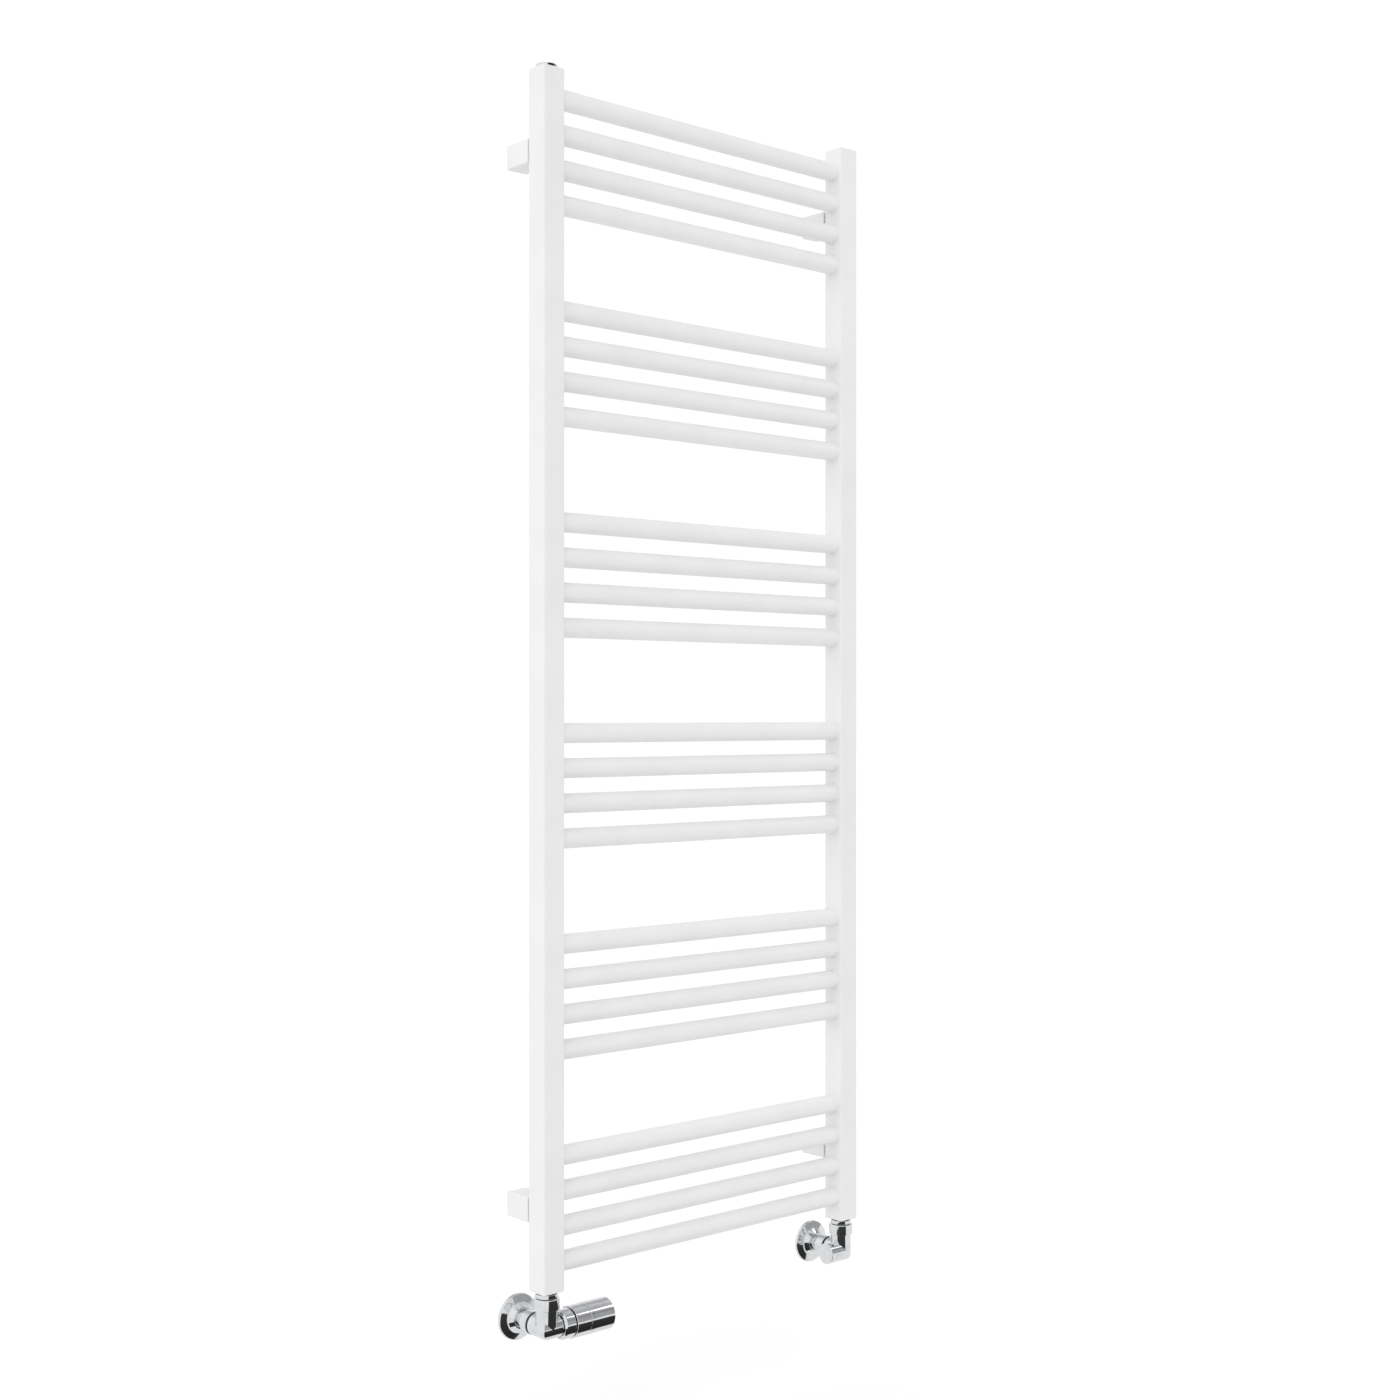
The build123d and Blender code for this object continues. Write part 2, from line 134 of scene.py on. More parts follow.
# --- Shader expressions ---
class Signal:
    """A shader socket that is written into expressions as a number is."""

    def __init__(self, board: "Board", socket: bpy.types.NodeSocket) -> None:
        """Wrap one output socket.

        Args:
            board: The node tree that the socket is in.
            socket: The output socket.
        """
        self.board = board
        self.socket = socket

    def _math(self, operation: str, first: "Signal | float", second: "Signal | float") -> "Signal":
        """Add one Math node.

        Args:
            operation: The Math node's operation.
            first: The first number or signal.
            second: The second number or signal.

        Returns:
            The result as a signal.
        """
        return self.board.node("ShaderNodeMath", {"operation": operation}, {0: first, 1: second})

    def __add__(self, other: "Signal | float") -> "Signal":
        """Sum."""
        return self._math("ADD", self, other)

    __radd__ = __add__

    def __sub__(self, other: "Signal | float") -> "Signal":
        """Difference."""
        return self._math("SUBTRACT", self, other)

    def __rsub__(self, other: "Signal | float") -> "Signal":
        """Difference with the signal taken away."""
        return self._math("SUBTRACT", other, self)

    def __mul__(self, other: "Signal | float") -> "Signal":
        """Product."""
        return self._math("MULTIPLY", self, other)

    __rmul__ = __mul__


class Board:
    """One node tree, cleared and ready to be filled."""

    def __init__(self, tree: bpy.types.NodeTree) -> None:
        """Empty a node tree.

        Args:
            tree: The node tree of a material or of the world.
        """
        self.tree = tree
        tree.nodes.clear()

    def node(
        self,
        kind: str,
        settings: dict[str, Any] | None = None,
        inputs: dict[int | str, Any] | None = None,
        output: int | str = 0,
    ) -> Signal:
        """Add one node.

        Args:
            kind: The node's type.
            settings: The node's own settings, which are set first.
            inputs: A value or a signal for each socket that needs one.
            output: The output socket that is wanted.

        Returns:
            That output as a signal.
        """
        made = self.tree.nodes.new(kind)
        for key, value in (settings or {}).items():
            setattr(made, key, value)
        for key, value in (inputs or {}).items():
            if isinstance(value, Signal):
                self.tree.links.new(value.socket, made.inputs[key])
            else:
                made.inputs[key].default_value = value
        return Signal(self, made.outputs[output] if len(made.outputs) else None)

    def place(self) -> Signal:
        """The point's own object coordinates."""
        return self.node("ShaderNodeTexCoord", output="Object")

    def noise(self, place: Signal, grain: float, detail: float = 2.0, rough: float = 0.5) -> Signal:
        """Cloudy noise from 0 to 1.

        Args:
            place: The coordinates.
            grain: The size of one grain, in metres.
            detail: How many finer layers it has.
            rough: How strong the finer layers are.

        Returns:
            The noise.
        """
        inputs = {"Vector": place, "Scale": 1 / grain, "Detail": detail, "Roughness": rough}
        return self.node("ShaderNodeTexNoise", {}, inputs)

    def rise(self, value: Signal, low: float, high: float, start: float = 0, end: float = 1) -> Signal:
        """A smooth step.

        Args:
            value: The number that is followed.
            low: Where the step starts.
            high: Where the step ends.
            start: The result below low.
            end: The result above high.

        Returns:
            The stepped number.
        """
        inputs = {"Value": value, "From Min": low, "From Max": high, "To Min": start, "To Max": end}
        return self.node("ShaderNodeMapRange", {"interpolation_type": "SMOOTHSTEP"}, inputs)

    def colour(self, share: Signal, first: Colour, second: Colour) -> Signal:
        """Blend two colours.

        Args:
            share: How much of the second colour shows, from 0 to 1.
            first: The first colour.
            second: The second colour.

        Returns:
            The blended colour.
        """
        inputs = {0: share, 6: (*first, 1.0), 7: (*second, 1.0)}
        return self.node("ShaderNodeMix", {"data_type": "RGBA"}, inputs, output=2)

    def bump(self, height: Signal, depth: float, strength: float = 1.0) -> Signal:
        """A bumped normal.

        Args:
            height: The height from 0 to 1.
            depth: The real depth of the relief, in metres.
            strength: How much of it shows.

        Returns:
            The normal.
        """
        return self.node("ShaderNodeBump", {}, {"Strength": strength, "Distance": depth, "Height": height})

    def surface(self, **inputs: Any) -> None:
        """Close the tree with one Principled shader.

        Args:
            inputs: The shader's sockets, with an underscore for each space in a name.
        """
        named = {key.replace("_", " "): value for key, value in inputs.items()}
        shader = self.node("ShaderNodeBsdfPrincipled", {}, named)
        self.node("ShaderNodeOutputMaterial", {}, {"Surface": shader})


def new_board(name: str) -> tuple[bpy.types.Material, Board]:
    """Start a material.

    Args:
        name: The material's name.

    Returns:
        The material and its empty node tree.
    """
    material = bpy.data.materials.new(name)
    material.use_nodes = True
    return material, Board(material.node_tree)


# --- Finishes ---
@dataclass(frozen=True)
class PowderCoat:
    """Satin white powder coat with a fine orange-peel skin."""

    name: str
    bright: Colour = (0.810, 0.812, 0.814)
    dull: Colour = (0.785, 0.787, 0.790)
    peel: float = 1.6 * MM
    speck: float = 0.35 * MM
    cloud: float = 60 * MM
    peel_depth: float = 0.012 * MM

    def material(self) -> bpy.types.Material:
        """Build the finish."""
        material, board = new_board(self.name)
        place = board.place()
        peel = board.noise(place, self.peel, 2.0, 0.55)
        speck = board.noise(place, self.speck, 1.0)
        cloud = board.noise(place, self.cloud, 3.0)
        shade = board.rise(cloud * 0.7 + speck * 0.3, 0.35, 0.65)
        board.surface(
            Base_Color=board.colour(shade, self.dull, self.bright),
            Roughness=0.36 + 0.10 * peel + 0.05 * cloud,
            Normal=board.bump(peel * 0.8 + speck * 0.2, self.peel_depth),
            IOR=1.5,
        )
        return material


@dataclass(frozen=True)
class BrightChrome:
    """Polished chrome plating over turned brass."""

    name: str
    bright: Colour = (0.80, 0.81, 0.825)
    dull: Colour = (0.70, 0.71, 0.73)
    haze: float = 9 * MM
    polish: float = 0.5 * MM
    ripple: float = 2.5 * MM
    ripple_depth: float = 0.0006 * MM

    def material(self) -> bpy.types.Material:
        """Build the finish."""
        material, board = new_board(self.name)
        place = board.place()
        haze = board.noise(place, self.haze, 3.0)
        polish = board.noise(place, self.polish, 2.0, 0.6)
        ripple = board.noise(place, self.ripple, 1.0)
        smear = board.rise(haze, 0.42, 0.68)
        board.surface(
            Base_Color=board.colour(smear * 0.6 + polish * 0.2, self.bright, self.dull),
            Metallic=1.0,
            Roughness=0.035 + 0.035 * smear + 0.02 * polish,
            Normal=board.bump(ripple, self.ripple_depth),
        )
        return material


@dataclass(frozen=True)
class TurnedMetal:
    """A bare metal with fine machining marks and tarnish."""

    name: str
    clean: Colour
    tarnished: Colour
    roughness: float
    grain: float = 0.25 * MM
    stain: float = 5 * MM
    mark_depth: float = 0.006 * MM

    def material(self) -> bpy.types.Material:
        """Build the finish."""
        material, board = new_board(self.name)
        place = board.place()
        marks = board.noise(place, self.grain, 2.0, 0.6)
        stain = board.rise(board.noise(place, self.stain, 4.0), 0.4, 0.7)
        board.surface(
            Base_Color=board.colour(stain * 0.8 + marks * 0.2, self.clean, self.tarnished),
            Metallic=1.0,
            Roughness=self.roughness + 0.12 * stain + 0.06 * marks,
            Normal=board.bump(marks, self.mark_depth),
        )
        return material


@dataclass(frozen=True)
class SoftMoulding:
    """A moulded rubber or plastic with a fine matt skin."""

    name: str
    dark: Colour
    light: Colour
    roughness: float
    skin: float = 0.3 * MM
    dust: float = 3 * MM
    skin_depth: float = 0.01 * MM

    def material(self) -> bpy.types.Material:
        """Build the finish."""
        material, board = new_board(self.name)
        place = board.place()
        skin = board.noise(place, self.skin, 2.0, 0.6)
        dust = board.rise(board.noise(place, self.dust, 3.0), 0.45, 0.75)
        board.surface(
            Base_Color=board.colour(dust * 0.6 + skin * 0.25, self.dark, self.light),
            Roughness=self.roughness + 0.15 * dust + 0.05 * skin,
            Normal=board.bump(skin, self.skin_depth),
            IOR=1.5,
        )
        return material


class Palette:
    """Every finish, made once."""

    def __init__(self) -> None:
        """Build the materials."""
        self.white = PowderCoat("white_powder_coat_satin").material()
        self.chrome = BrightChrome("chrome_polished").material()
        brass = TurnedMetal("brass_turned", (0.80, 0.60, 0.30), (0.55, 0.38, 0.17), 0.22)
        self.brass = brass.material()
        zinc = TurnedMetal("zinc_plated_steel", (0.66, 0.68, 0.70), (0.45, 0.47, 0.50), 0.30)
        self.zinc = zinc.material()
        rubber = SoftMoulding("rubber_black", (0.012, 0.012, 0.013), (0.045, 0.045, 0.046), 0.48)
        self.rubber = rubber.material()
        plastic = SoftMoulding("plastic_grey", (0.30, 0.31, 0.32), (0.40, 0.41, 0.42), 0.38)
        self.plastic = plastic.material()
        ink = SoftMoulding("ink_black", (0.015, 0.015, 0.016), (0.05, 0.05, 0.052), 0.40)
        self.ink = ink.material()


# --- Workshop ---
def placed(origin: Vector, way: Way) -> Matrix:
    """Where a shape goes that was made along its own Z.

    Args:
        origin: The point that its own origin goes to.
        way: The direction that its own Z turns to.

    Returns:
        The transform.
    """
    turn = Vector(way.value).to_track_quat("Z", "Y").to_matrix().to_4x4()
    return Matrix.Translation(origin) @ turn


def turned(profile: Profile, place: Matrix, steps: int = FINE_STEPS) -> Work:
    """Turn a profile about its own Z, as on a lathe.

    Args:
        profile: A radius, a distance along the axis and an edge rounding for each corner. It is
            a closed loop, or for a solid piece starts and ends on the axis.
        place: Where the turned shape goes.
        steps: How many steps there are in the full turn.

    Returns:
        The turned shape.
    """
    work = bmesh.new()
    corners = [work.verts.new((radius, 0, along)) for radius, along, _ in profile]
    pairs = list(zip(corners, corners[1:]))
    if profile[0][0] > 0:
        pairs.append((corners[-1], corners[0]))
    lines = [work.edges.new(pair) for pair in pairs]
    bmesh.ops.spin(
        work,
        geom=corners + lines,
        axis=(0, 0, 1),
        cent=(0, 0, 0),
        angle=math.tau,
        steps=steps,
        use_merge=True,
    )
    bmesh.ops.remove_doubles(work, verts=work.verts[:], dist=WELD)
    bmesh.ops.recalc_face_normals(work, faces=work.faces[:])
    for radius, along, rounding in profile:
        if rounding > 0:
            soften(work, ring_edges(work, radius, along), rounding)
    bmesh.ops.transform(work, matrix=place, verts=work.verts[:])
    return work


def ring_edges(work: Work, radius: float, along: float) -> list[bmesh.types.BMEdge]:
    """The edges of one turned corner.

    Args:
        work: The turned shape, still about its own Z.
        radius: The corner's radius.
        along: The corner's distance along the axis.

    Returns:
        The edges of its circle.
    """
    near = 10 * WELD
    on_ring = {
        v
        for v in work.verts
        if abs(math.hypot(v.co.x, v.co.y) - radius) < near and abs(v.co.z - along) < near
    }
    return [e for e in work.edges if e.verts[0] in on_ring and e.verts[1] in on_ring]


def soften(work: Work, edges: Iterable[bmesh.types.BMEdge], size: float, segments: int = 3) -> None:
    """Round some edges.

    Args:
        work: The shape.
        edges: The edges that are rounded.
        size: How far the rounding reaches from each edge.
        segments: How many faces it has across.
    """
    bmesh.ops.bevel(
        work,
        geom=list(edges),
        offset=size,
        offset_type="OFFSET",
        segments=segments,
        profile=0.5,
        affect="EDGES",
        clamp_overlap=True,
        material=-1,
    )


def rod(radius: float, start: float, end: float, place: Matrix, rounding: float = 0) -> Work:
    """A round rod.

    Args:
        radius: The rod's radius.
        start: Where it starts along the axis.
        end: Where it ends.
        place: Where the axis lies.
        rounding: How much the edge at its end is rounded.

    Returns:
        The rod.
    """
    return turned([(0, start, 0), (radius, start, 0), (radius, end, rounding), (0, end, 0)], place)


def ring(outer: float, inner: float, start: float, end: float, place: Matrix, rounding: float = 0) -> Work:
    """A round ring.

    Args:
        outer: The outer radius.
        inner: The inner radius.
        start: Where it starts along the axis.
        end: Where it ends.
        place: Where the axis lies.
        rounding: How much its two outer edges are rounded.

    Returns:
        The ring.
    """
    profile = [(inner, start, 0), (outer, start, rounding), (outer, end, rounding), (inner, end, 0)]
    return turned(profile, place)


def coil(radius: float, wire: float, start: float, end: float, turns: int, place: Matrix) -> Work:
    """A round wire wound into a coil.

    Args:
        radius: The radius of the wire's middle line.
        wire: The wire's own radius.
        start: Where its middle line starts along the axis.
        end: Where its middle line ends.
        turns: How many turns it has.
        place: Where the axis lies.

    Returns:
        The closed coil.
    """
    work = bmesh.new()
    upright = Matrix.Translation((radius, 0, start)) @ Matrix.Rotation(math.pi / 2, 4, "X")
    bmesh.ops.create_circle(work, cap_ends=False, radius=wire, segments=12, matrix=upright)
    steps = PLAIN_STEPS * turns
    bmesh.ops.spin(
        work,
        geom=work.verts[:] + work.edges[:],
        axis=(0, 0, 1),
        cent=(0, 0, 0),
        dvec=(0, 0, (end - start) / steps),
        angle=math.tau * turns,
        steps=steps,
        use_merge=False,
    )
    bmesh.ops.holes_fill(work, edges=[e for e in work.edges if e.is_boundary])
    bmesh.ops.recalc_face_normals(work, faces=work.faces[:])
    bmesh.ops.transform(work, matrix=place, verts=work.verts[:])
    return work


def gathered(works: Iterable[Work]) -> Work:
    """Put several shapes into one, without joining them.

    Args:
        works: The shapes, which are used up.

    Returns:
        The one shape.
    """
    whole = bmesh.new()
    for work in works:
        carrier = bpy.data.meshes.new("carrier")
        work.to_mesh(carrier)
        work.free()
        whole.from_mesh(carrier)
        bpy.data.meshes.remove(carrier)
    return whole


def combined(base: Work, other: Work, cut: Cut) -> Work:
    """Join or cut two closed shapes.

    Args:
        base: The first shape, which is used up.
        other: The second shape, which is used up.
        cut: What the second does to the first.

    Returns:
        The closed result.
    """
    bench = []
    for work in (base, other):
        mesh = bpy.data.meshes.new("bench")
        work.to_mesh(mesh)
        work.free()
        item = bpy.data.objects.new("bench", mesh)
        bpy.context.scene.collection.objects.link(item)
        bench.append(item)
    modifier = bench[0].modifiers.new("cut", "BOOLEAN")
    modifier.operation = cut.value
    modifier.object = bench[1]
    modifier.solver = "EXACT"
    result = bmesh.new()
    result.from_object(bench[0], bpy.context.evaluated_depsgraph_get())
    for item in bench:
        mesh = item.data
        bpy.data.objects.remove(item)
        bpy.data.meshes.remove(mesh)
    bmesh.ops.remove_doubles(result, verts=result.verts[:], dist=10 * WELD)
    return result


def block(low: Vector, high: Vector) -> Work:
    """A plain block.

    Args:
        low: Its lowest corner.
        high: Its highest corner.

    Returns:
        The block.
    """
    work = bmesh.new()
    bmesh.ops.create_cube(work, size=1)
    size = high - low
    stretch = Matrix.Diagonal((*size, 1))
    bmesh.ops.transform(work, matrix=Matrix.Translation((low + high) / 2) @ stretch, verts=work.verts[:])
    return work


def edges_along(work: Work, axis: int) -> list[bmesh.types.BMEdge]:
    """The edges that run along one axis.

    Args:
        work: The shape.
        axis: 0 for X, 1 for Y or 2 for Z.

    Returns:
        The edges.
    """
    others = [k for k in range(3) if k != axis]
    return [
        e
        for e in work.edges
        if all(abs(e.verts[0].co[k] - e.verts[1].co[k]) < WELD for k in others)
    ]


def facing(work: Work, way: Way) -> list[bmesh.types.BMFace]:
    """The faces that look one way.

    Args:
        work: The shape.
        way: The direction.

    Returns:
        The faces.
    """
    work.normal_update()
    return [f for f in work.faces if f.normal.dot(Vector(way.value)) > 0.999]


def true_rounds(mesh: bpy.types.Mesh, barrels: Sequence[Barrel]) -> None:
    """Shade the faces on round surfaces as exactly round, up to the line where two of them meet.

    Args:
        mesh: The mesh.
        barrels: The round surfaces.
    """
    normals = [Vector(corner.vector) for corner in mesh.corner_normals]
    for face in mesh.polygons:
        best, best_match = [], BARREL_FACING
        for origin, way, radius in barrels:
            along = Vector(way.value)
            arms = [mesh.vertices[v].co - origin for v in face.vertices]
            spokes = [arm - along * arm.dot(along) for arm in arms]
            if any(abs(spoke.length - radius) > BARREL_SLACK for spoke in spokes):
                continue
            match = face.normal.dot(sum(spokes, Vector()).normalized())
            if match > best_match:
                best, best_match = spokes, match
        for loop, spoke in zip(face.loop_indices, best):
            normals[loop] = spoke.normalized()
    mesh.normals_split_custom_set(normals)


def publish(
    work: Work,
    name: str,
    material: bpy.types.Material,
    slot: Slot | None,
    replaces: Sequence[str] = (),
    body: str = "root",
    crease: float = 40,
    barrels: Sequence[Barrel] = (),
) -> bpy.types.Object:
    """Turn a shape into a finished piece on its body.

    Args:
        work: The shape, which is used up.
        name: The piece's name.
        material: The piece's finish.
        slot: The record's material slot, if it has one; it is not used.
        replaces: The nodes that the piece stands for.
        body: The body that it rides on.
        crease: The angle past which an edge stays sharp, in degrees.
        barrels: The round surfaces that meet in it at shallow angles, if it has any.

    Returns:
        The piece.
    """
    mesh = bpy.data.meshes.new(name)
    work.to_mesh(mesh)
    work.free()
    mesh.shade_smooth()
    mesh.set_sharp_from_angle(angle=math.radians(crease))
    mesh.materials.append(material)
    piece = bpy.data.objects.new(name, mesh)
    bpy.context.scene.collection.objects.link(piece)
    if barrels:
        true_rounds(mesh, barrels)
    else:
        weighted = piece.modifiers.new("even_flats", "WEIGHTED_NORMAL")
        weighted.keep_sharp = True
    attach(piece, body)
    if replaces:
        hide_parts(*replaces)
    log.info("%s: %d faces on %s", name, len(mesh.polygons), body)
    return piece


def dress(material: bpy.types.Material, *nodes: str) -> None:
    """Give the carried-over nodes a finish.

    Args:
        material: The finish.
        nodes: The nodes' names.
    """
    for name in nodes:
        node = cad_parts[name]
        for slot in node.material_slots:
            slot.material = material
        log.info("%s: dressed with %s", name, material.name)


# --- Radiator ---
@dataclass
class Radiator:
    """Two square collectors with round rungs between them."""

    palette: Palette
    corner: float = 3.0 * MM
    wall: float = 1.5 * MM
    rim: float = 0.45 * MM
    rung_radius: float = 11.5 * MM
    rung_wall: float = 1.2 * MM
    weld_reach: float = 1.0 * MM
    weld_length: float = 1.3 * MM
    weld_waist: float = 0.25
    weld_bend: float = 0.4

    def collector(self, node: str) -> None:
        """Build one collector as a hollow square tube.

        Args:
            node: The node that it replaces.
        """
        low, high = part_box(node)
        tube = block(low, high)
        soften(tube, edges_along(tube, 2), self.corner, segments=8)
        for way in (Way.UP, Way.DOWN):
            bmesh.ops.inset_region(tube, faces=facing(tube, way), thickness=self.wall, use_even_offset=True)
        mouths = [
            max((f for f in facing(tube, way)), key=lambda f: len(f.verts))
            for way in (Way.UP, Way.DOWN)
        ]
        rims = [e for f in mouths for e in f.edges]
        bmesh.ops.delete(tube, geom=mouths, context="FACES_ONLY")
        bmesh.ops.bridge_loops(tube, edges=rims)
        bmesh.ops.recalc_face_normals(tube, faces=tube.faces[:])
        outline = [
            e
            for e in tube.edges
            if len(e.link_faces) == 2 and e.calc_face_angle() > math.radians(60)
        ]
        soften(tube, outline, self.rim)
        publish(tube, node + "_tube", self.palette.white, Slot.WHITE, [node])

    def rung(self, node: str) -> None:
        """Build one rung with its small weld at each end.

        Args:
            node: The node that it replaces.
        """
        low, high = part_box(node)
        middle = (low + high) / 2
        length = high.x - low.x
        bore = self.rung_radius - self.rung_wall
        flare = self.rung_radius + self.weld_reach
        waist = self.rung_radius + self.weld_waist * self.weld_reach
        profile = [
            (bore, 0, 0),
            (flare, 0, 0),
            (waist, self.weld_bend * self.weld_length, 0),
            (self.rung_radius, self.weld_length, 0),
            (self.rung_radius, length - self.weld_length, 0),
            (waist, length - self.weld_bend * self.weld_length, 0),
            (flare, length, 0),
            (bore, length, 0),
        ]
        place = placed(Vector((low.x, middle.y, middle.z)), Way.RIGHT)
        tube = turned(profile, place, PLAIN_STEPS)
        publish(tube, node + "_tube", self.palette.white, Slot.WHITE, [node], crease=60)

    def build(self) -> None:
        """Build and dress the whole radiator."""
        for side in ("left", "right"):
            self.collector(f"{side}_collector")
        for node in sorted(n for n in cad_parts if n.startswith("rung_")):
            self.rung(node)
        dress(self.palette.white, "end_plates", "threaded_sockets", "bracket_bosses")


# --- Wall brackets ---
@dataclass
class WallBrackets:
    """Four square covers over round bases on the wall."""

    palette: Palette
    cover_side: float = 28.0 * MM
    cover_depth: float = 40.0 * MM
    cover_wall: float = 1.8 * MM
    cover_corner: float = 2.0 * MM
    cover_edge: float = 1.5 * MM
    stud_hole: float = 6.3 * MM
    key_hole: float = 2.2 * MM
    grub_distance: float = 20.0 * MM
    base_radius: float = 11.0 * MM
    base_depth: float = 30.0 * MM
    flange_radius: float = 12.0 * MM
    flange: float = 3.0 * MM
    base_bore: float = 6.05 * MM
    screw_hole: float = 2.75 * MM
    grub_hole: float = 2.5 * MM

    def places(self) -> list[tuple[Vector, Way]]:
        """Each bracket's point on the wall, and the way its grub screw faces."""
        low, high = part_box("bracket_covers")
        half = self.cover_side / 2
        return [
            (Vector((x, 0, z)), way)
            for z, way in ((high.z - half, Way.UP), (low.z + half, Way.DOWN))
            for x in (low.x + half, high.x - half)
        ]

    def cover(self, point: Vector, away: Way) -> Work:
        """Build one hollow cover.

        Args:
            point: The bracket's point on the wall.
            away: The way its grub screw faces.

        Returns:
            The cover.
        """
        half = self.cover_side / 2
        low = point + Vector((-half, -self.cover_depth, -half))
        cover = block(low, point + Vector((half, 0, half)))
        soften(cover, edges_along(cover, 1), self.cover_corner, segments=5)
        front = facing(cover, Way.ROOM)
        soften(cover, [e for f in front for e in f.edges], self.cover_edge, segments=4)
        bmesh.ops.delete(cover, geom=facing(cover, Way.WALL), context="FACES_ONLY")
        bmesh.ops.recalc_face_normals(cover, faces=cover.faces[:])
        bmesh.ops.solidify(cover, geom=cover.faces[:], thickness=self.cover_wall)
        hole = rod(self.stud_hole, 0, 2 * self.cover_depth, placed(point, Way.ROOM))
        cover = combined(cover, hole, Cut.REMOVE)
        seat = point - Vector((0, self.grub_distance, 0))
        return combined(cover, rod(self.key_hole, 0, self.cover_side, placed(seat, away)), Cut.REMOVE)

    def base(self, point: Vector, away: Way) -> Work:
        """Build one round base.

        Args:
            point: The bracket's point on the wall.
            away: The way its grub screw faces.

        Returns:
            The base.
        """
        edge = 0.5 * MM
        profile = [
            (self.screw_hole, 0, 0),
            (self.flange_radius, 0, 0),
            (self.flange_radius, self.flange, edge),
            (self.base_radius, self.flange, 0),
            (self.base_radius, self.base_depth, edge),
            (self.base_bore, self.base_depth, edge),
            (self.base_bore, self.flange, 0),
            (self.screw_hole, self.flange, 0),
        ]
        base = turned(profile, placed(point, Way.ROOM), PLAIN_STEPS)
        seat = point - Vector((0, self.grub_distance, 0))
        return combined(base, rod(self.grub_hole, 0, self.cover_side, placed(seat, away)), Cut.REMOVE)

    def build(self) -> None:
        """Build and dress the four brackets."""
        covers = gathered(self.cover(*place) for place in self.places())
        publish(covers, "bracket_cover_sleeves", self.palette.white, Slot.WHITE, ["bracket_covers"])
        bases = gathered(self.base(*place) for place in self.places())
        publish(bases, "bracket_base_cups", self.palette.zinc, Slot.ZINC, ["bracket_wall_bases"])
        dress(self.palette.zinc, "bracket_studs", "bracket_grub_screws")


# --- Air vent ---
@dataclass
class AirVent:
    """The chrome plug on the left collector, with its seal and bleed screw."""

    palette: Palette
    plug_radius: float = 12.5 * MM
    plug_height: float = 4.4 * MM
    seal_height: float = 0.8 * MM
    seal_radius: float = 11.9 * MM
    thread_radius: float = 10.45 * MM
    thread_length: float = 12.0 * MM
    recess_radius: float = 5.3 * MM
    recess_depth: float = 3.0 * MM
    screw_bore: float = 2.55 * MM
    screw_radius: float = 5.0 * MM
    screw_rod: float = 2.5 * MM
    slot_width: float = 1.0 * MM
    slot_depth: float = 1.2 * MM

    def build(self) -> None:
        """Build the vent's three pieces."""
        low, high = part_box("air_vent_seal")
        top = Vector(((low.x + high.x) / 2, (low.y + high.y) / 2, low.z))
        place = placed(top, Way.UP)
        floor = self.plug_height - self.recess_depth
        plug = [
            (self.screw_bore, -self.thread_length, 0),
            (self.thread_radius, -self.thread_length, Edge.BROKEN),
            (self.thread_radius, self.seal_height, 0),
            (self.plug_radius, self.seal_height, Edge.CRISP),
            (self.plug_radius, self.plug_height, Edge.ROUND),
            (self.recess_radius, self.plug_height, Edge.BROKEN),
            (self.recess_radius, floor, 0),
            (self.screw_bore, floor, 0),
        ]
        publish(turned(plug, place), "air_vent_cap", self.palette.chrome, Slot.CHROME, ["air_vent_plug"])
        seal = ring(self.seal_radius, self.thread_radius, 0, self.seal_height, place, Edge.THIN)
        publish(seal, "air_vent_washer", self.palette.rubber, Slot.RUBBER, ["air_vent_seal"])
        screw_top = self.plug_height - 0.2 * MM
        head_start = floor + 0.3 * MM
        screw = turned(
            [
                (0, 1 * MM - self.thread_length, 0),
                (self.screw_rod, 1 * MM - self.thread_length, Edge.BROKEN),
                (self.screw_rod, head_start, 0),
                (self.screw_radius, head_start, Edge.FINE),
                (self.screw_radius, screw_top, Edge.EASED),
                (0, screw_top, 0),
            ],
            place,
        )
        reach = Vector((2 * self.screw_radius, self.slot_width / 2, self.slot_depth))
        middle = top + Vector((0, 0, screw_top))
        screw = combined(screw, block(middle - reach, middle + reach), Cut.REMOVE)
        publish(
            screw, "bleed_screw_slotted", self.palette.brass, Slot.BRASS, ["bleed_screw"], "bleed_screw"
        )


